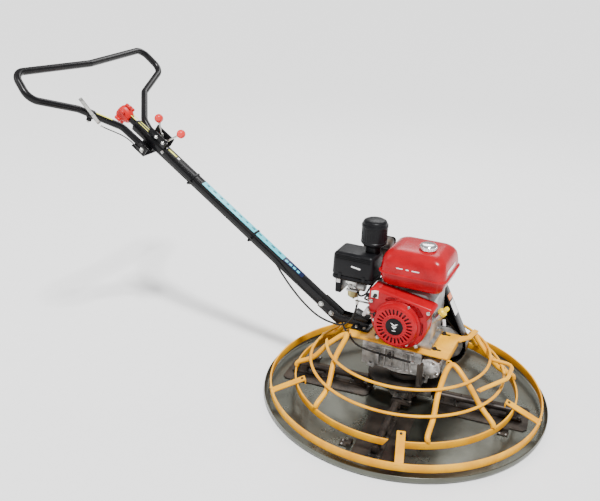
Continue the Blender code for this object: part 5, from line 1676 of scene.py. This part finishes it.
@dataclass
class Cables:
    """The three control cables with their ferrules."""

    def build(self) -> None:
        """Make the sheaths, the ferrules and the bare wire at the yoke."""
        throttle = [(-0.9875, -0.034, 0.7640), (-0.953, -0.036, 0.7260), (-0.784, -0.034, 0.6080),
                    (-0.616, -0.033, 0.4920), (-0.516, -0.033, 0.4220), (-0.483, -0.036, 0.3860),
                    (-0.445, -0.040, 0.3450), (-0.391, -0.044, 0.2960), (-0.330, -0.050, 0.2590),
                    (-0.270, -0.058, 0.2475), (-0.222, -0.068, 0.2560), (-0.190, -0.070, 0.2860),
                    (-0.178, -0.066, 0.3240), (-0.176, -0.060, 0.3545)]
        pitch = [(-0.600, 0.0, 0.4820), (-0.450, 0.0, 0.3790), (-0.330, 0.0, 0.2965),
                 (-0.262, -0.002, 0.2450), (-0.232, -0.020, 0.2160), (-0.190, -0.062, 0.2070),
                 (-0.150, -0.096, 0.2060), (-0.090, -0.112, 0.2055), (0.000, -0.1165, 0.2050),
                 (0.061, -0.1190, 0.2050)]
        stop = [(-1.1620, -0.1555, 0.8590), (-1.1490, -0.1370, 0.8460), (-1.1330, -0.1130, 0.8310),
                (-1.1160, -0.0900, 0.8150), (-1.1000, -0.0760, 0.7990), (-1.0845, -0.0690, 0.7830),
                (-1.0660, -0.0672, 0.7690), (-1.0480, -0.0670, 0.7565)]
        for name, route, radius in (("throttle_cable", throttle, 0.0035),
                                    ("pitch_cable", pitch, 0.0035), ("stop_cable", stop, 0.0022)):
            path = smooth(route, 10)
            Shape().sweep(path, radius, 16).piece(f"{name}_sheath", RUBBER, "chassis", "rubber",
                                                  name)
            ends = Shape()
            for end, inward in ((path[0], path[1]), (path[-1], path[-2])):
                along = (inward - end).normalized()
                ends.lathe([(radius * 1.02, 0.012), (radius * 1.35, 0.0115), (radius * 1.45, 0.010),
                            (radius * 1.45, 0.0010), (radius * 1.2, 0.0), (0.0, 0.0)],
                           aim(end, along), 24)
            ends.piece(f"{name}_ferrules", ZINC, "chassis", "lever_steel")
        self._throttle_end()
        wire = [Vector((0.055 + 0.0013 * k, -0.1190, 0.2050)) for k in range(21)]
        inner = Shape().sweep(wire, 0.0011, 10).piece("pitch_wire", ZINC, "chassis",
                                                      "lever_steel")
        inner.parent = None
        del inner["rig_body"]
        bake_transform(inner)


    def _throttle_end(self) -> None:
        """The bracket that holds the throttle sheath, and its wire up to the carburettor."""
        bracket = Shape()
        bracket.block((0.072, 0.013, 0.0018), moved(-0.1480, -0.0600, 0.3560),
                      0.0006)
        bracket.block((0.0018, 0.013, 0.030), moved(-0.1130, -0.0600, 0.3700),
                      0.0006)
        bracket.piece("throttle_bracket", ZINC, "chassis", "lever_steel")
        wire = smooth([(-0.176, -0.0600, 0.3530), (-0.1755, -0.0590, 0.3700),
                       (-0.1770, -0.0575, 0.3850), (-0.1790, -0.0565, 0.3980)])
        end = Shape().sweep(wire, 0.0011, 10)
        end.rod(0.0036, 0.0060, aim((-0.1790, -0.0560, 0.3975), (0, -1, 0)), sides=20)
        end.block((0.0026, 0.0050, 0.0200), moved(-0.1775, -0.0600, 0.4040), 0.0008)
        end.piece("throttle_wire", ZINC, "chassis", "lever_steel")


# ---------------------------------------------------------------- studio
@dataclass
class Studio:
    """Pale floor, soft lights and the camera."""

    eye: tuple[float, float, float] = (0.6295, -2.3206, 1.5110)
    azimuth: float = math.radians(24.5)
    elevation: float = math.radians(22.2)
    roll: float = math.radians(2.1)
    lens: float = 46.08

    def build(self) -> None:
        """Set up the floor, world, lights and camera."""
        floor = Shape().plate([rounded_rectangle(160.0, 160.0, 0.5)], 0.02,
                              moved(0, 0, -0.0102), 0.001)
        mesh = bpy.data.meshes.new("studio_floor")
        floor.bm.to_mesh(mesh)
        floor.bm.free()
        ground = bpy.data.objects.new("studio_floor", mesh)
        bpy.context.scene.collection.objects.link(ground)
        mesh.materials.append(FLOOR.material())
        self._world()
        self._sun((0.9, -1.2, 3.1), 6.2)
        for name, at, size, power in (("fill", (-3.0, -2.0, 2.6), 2.0, 40.0),
                                      ("rim", (-0.8, 3.0, 3.0), 1.6, 50.0)):
            self._lamp(name, at, size, power)
        self._camera()

    def _world(self) -> None:
        """A bright, even surround."""
        world = bpy.data.worlds.new("studio")
        world.use_nodes = True
        world.node_tree.nodes["Background"].inputs["Color"].default_value = (1.0, 1.0, 1.0, 1.0)
        world.node_tree.nodes["Background"].inputs["Strength"].default_value = 0.60
        bpy.context.scene.world = world

    def _sun(self, towards: Sequence[float], power: float) -> None:
        """The broad main light, from over the viewer's right shoulder."""
        data = bpy.data.lights.new("main_light", "SUN")
        data.energy = power
        data.angle = math.radians(9.0)
        lamp = bpy.data.objects.new("main_light", data)
        lamp.rotation_euler = Vector(towards).to_track_quat("Z", "Y").to_euler()
        bpy.context.scene.collection.objects.link(lamp)

    def _lamp(self, name: str, at: Sequence[float], size: float, power: float) -> None:
        """One soft square light that faces the machine."""
        data = bpy.data.lights.new(name, "AREA")
        data.size = size
        data.energy = power
        lamp = bpy.data.objects.new(name, data)
        lamp.location = at
        away = Vector(at) - Vector((-0.3, 0.0, 0.35))
        lamp.rotation_euler = away.to_track_quat("Z", "Y").to_euler()
        bpy.context.scene.collection.objects.link(lamp)

    def _camera(self) -> None:
        """The camera from its angles: level axes first, then the small roll."""
        a, e, r = self.azimuth, self.elevation, self.roll
        right = Vector((math.cos(a), math.sin(a), 0.0))
        back = Vector((math.sin(a) * math.cos(e), -math.cos(a) * math.cos(e), math.sin(e)))
        up = back.cross(right)
        across = right * math.cos(r) + up * math.sin(r)
        upright = up * math.cos(r) - right * math.sin(r)
        data = bpy.data.cameras.new("camera")
        data.sensor_width = 36.0
        data.lens = self.lens
        camera = bpy.data.objects.new("camera", data)
        turn = Matrix((across, upright, back)).transposed().to_4x4()
        camera.matrix_world = Matrix.Translation(self.eye) @ turn
        bpy.context.scene.collection.objects.link(camera)
        bpy.context.scene.camera = camera


def main() -> None:
    """Build every sub-assembly in order."""
    logging.basicConfig(level=logging.INFO, format="%(message)s")
    Studio().build()
    for assembly in (FloatPan(), Rotor(), GuardCage(), Deck(), Gearbox(), Engine(), HandleTube(),
                     HandWheel(), Levers(), Handlebar(), Cables()):
        LOG.info("building %s", type(assembly).__name__)
        assembly.build()


if __name__ == "__main__":
    main()
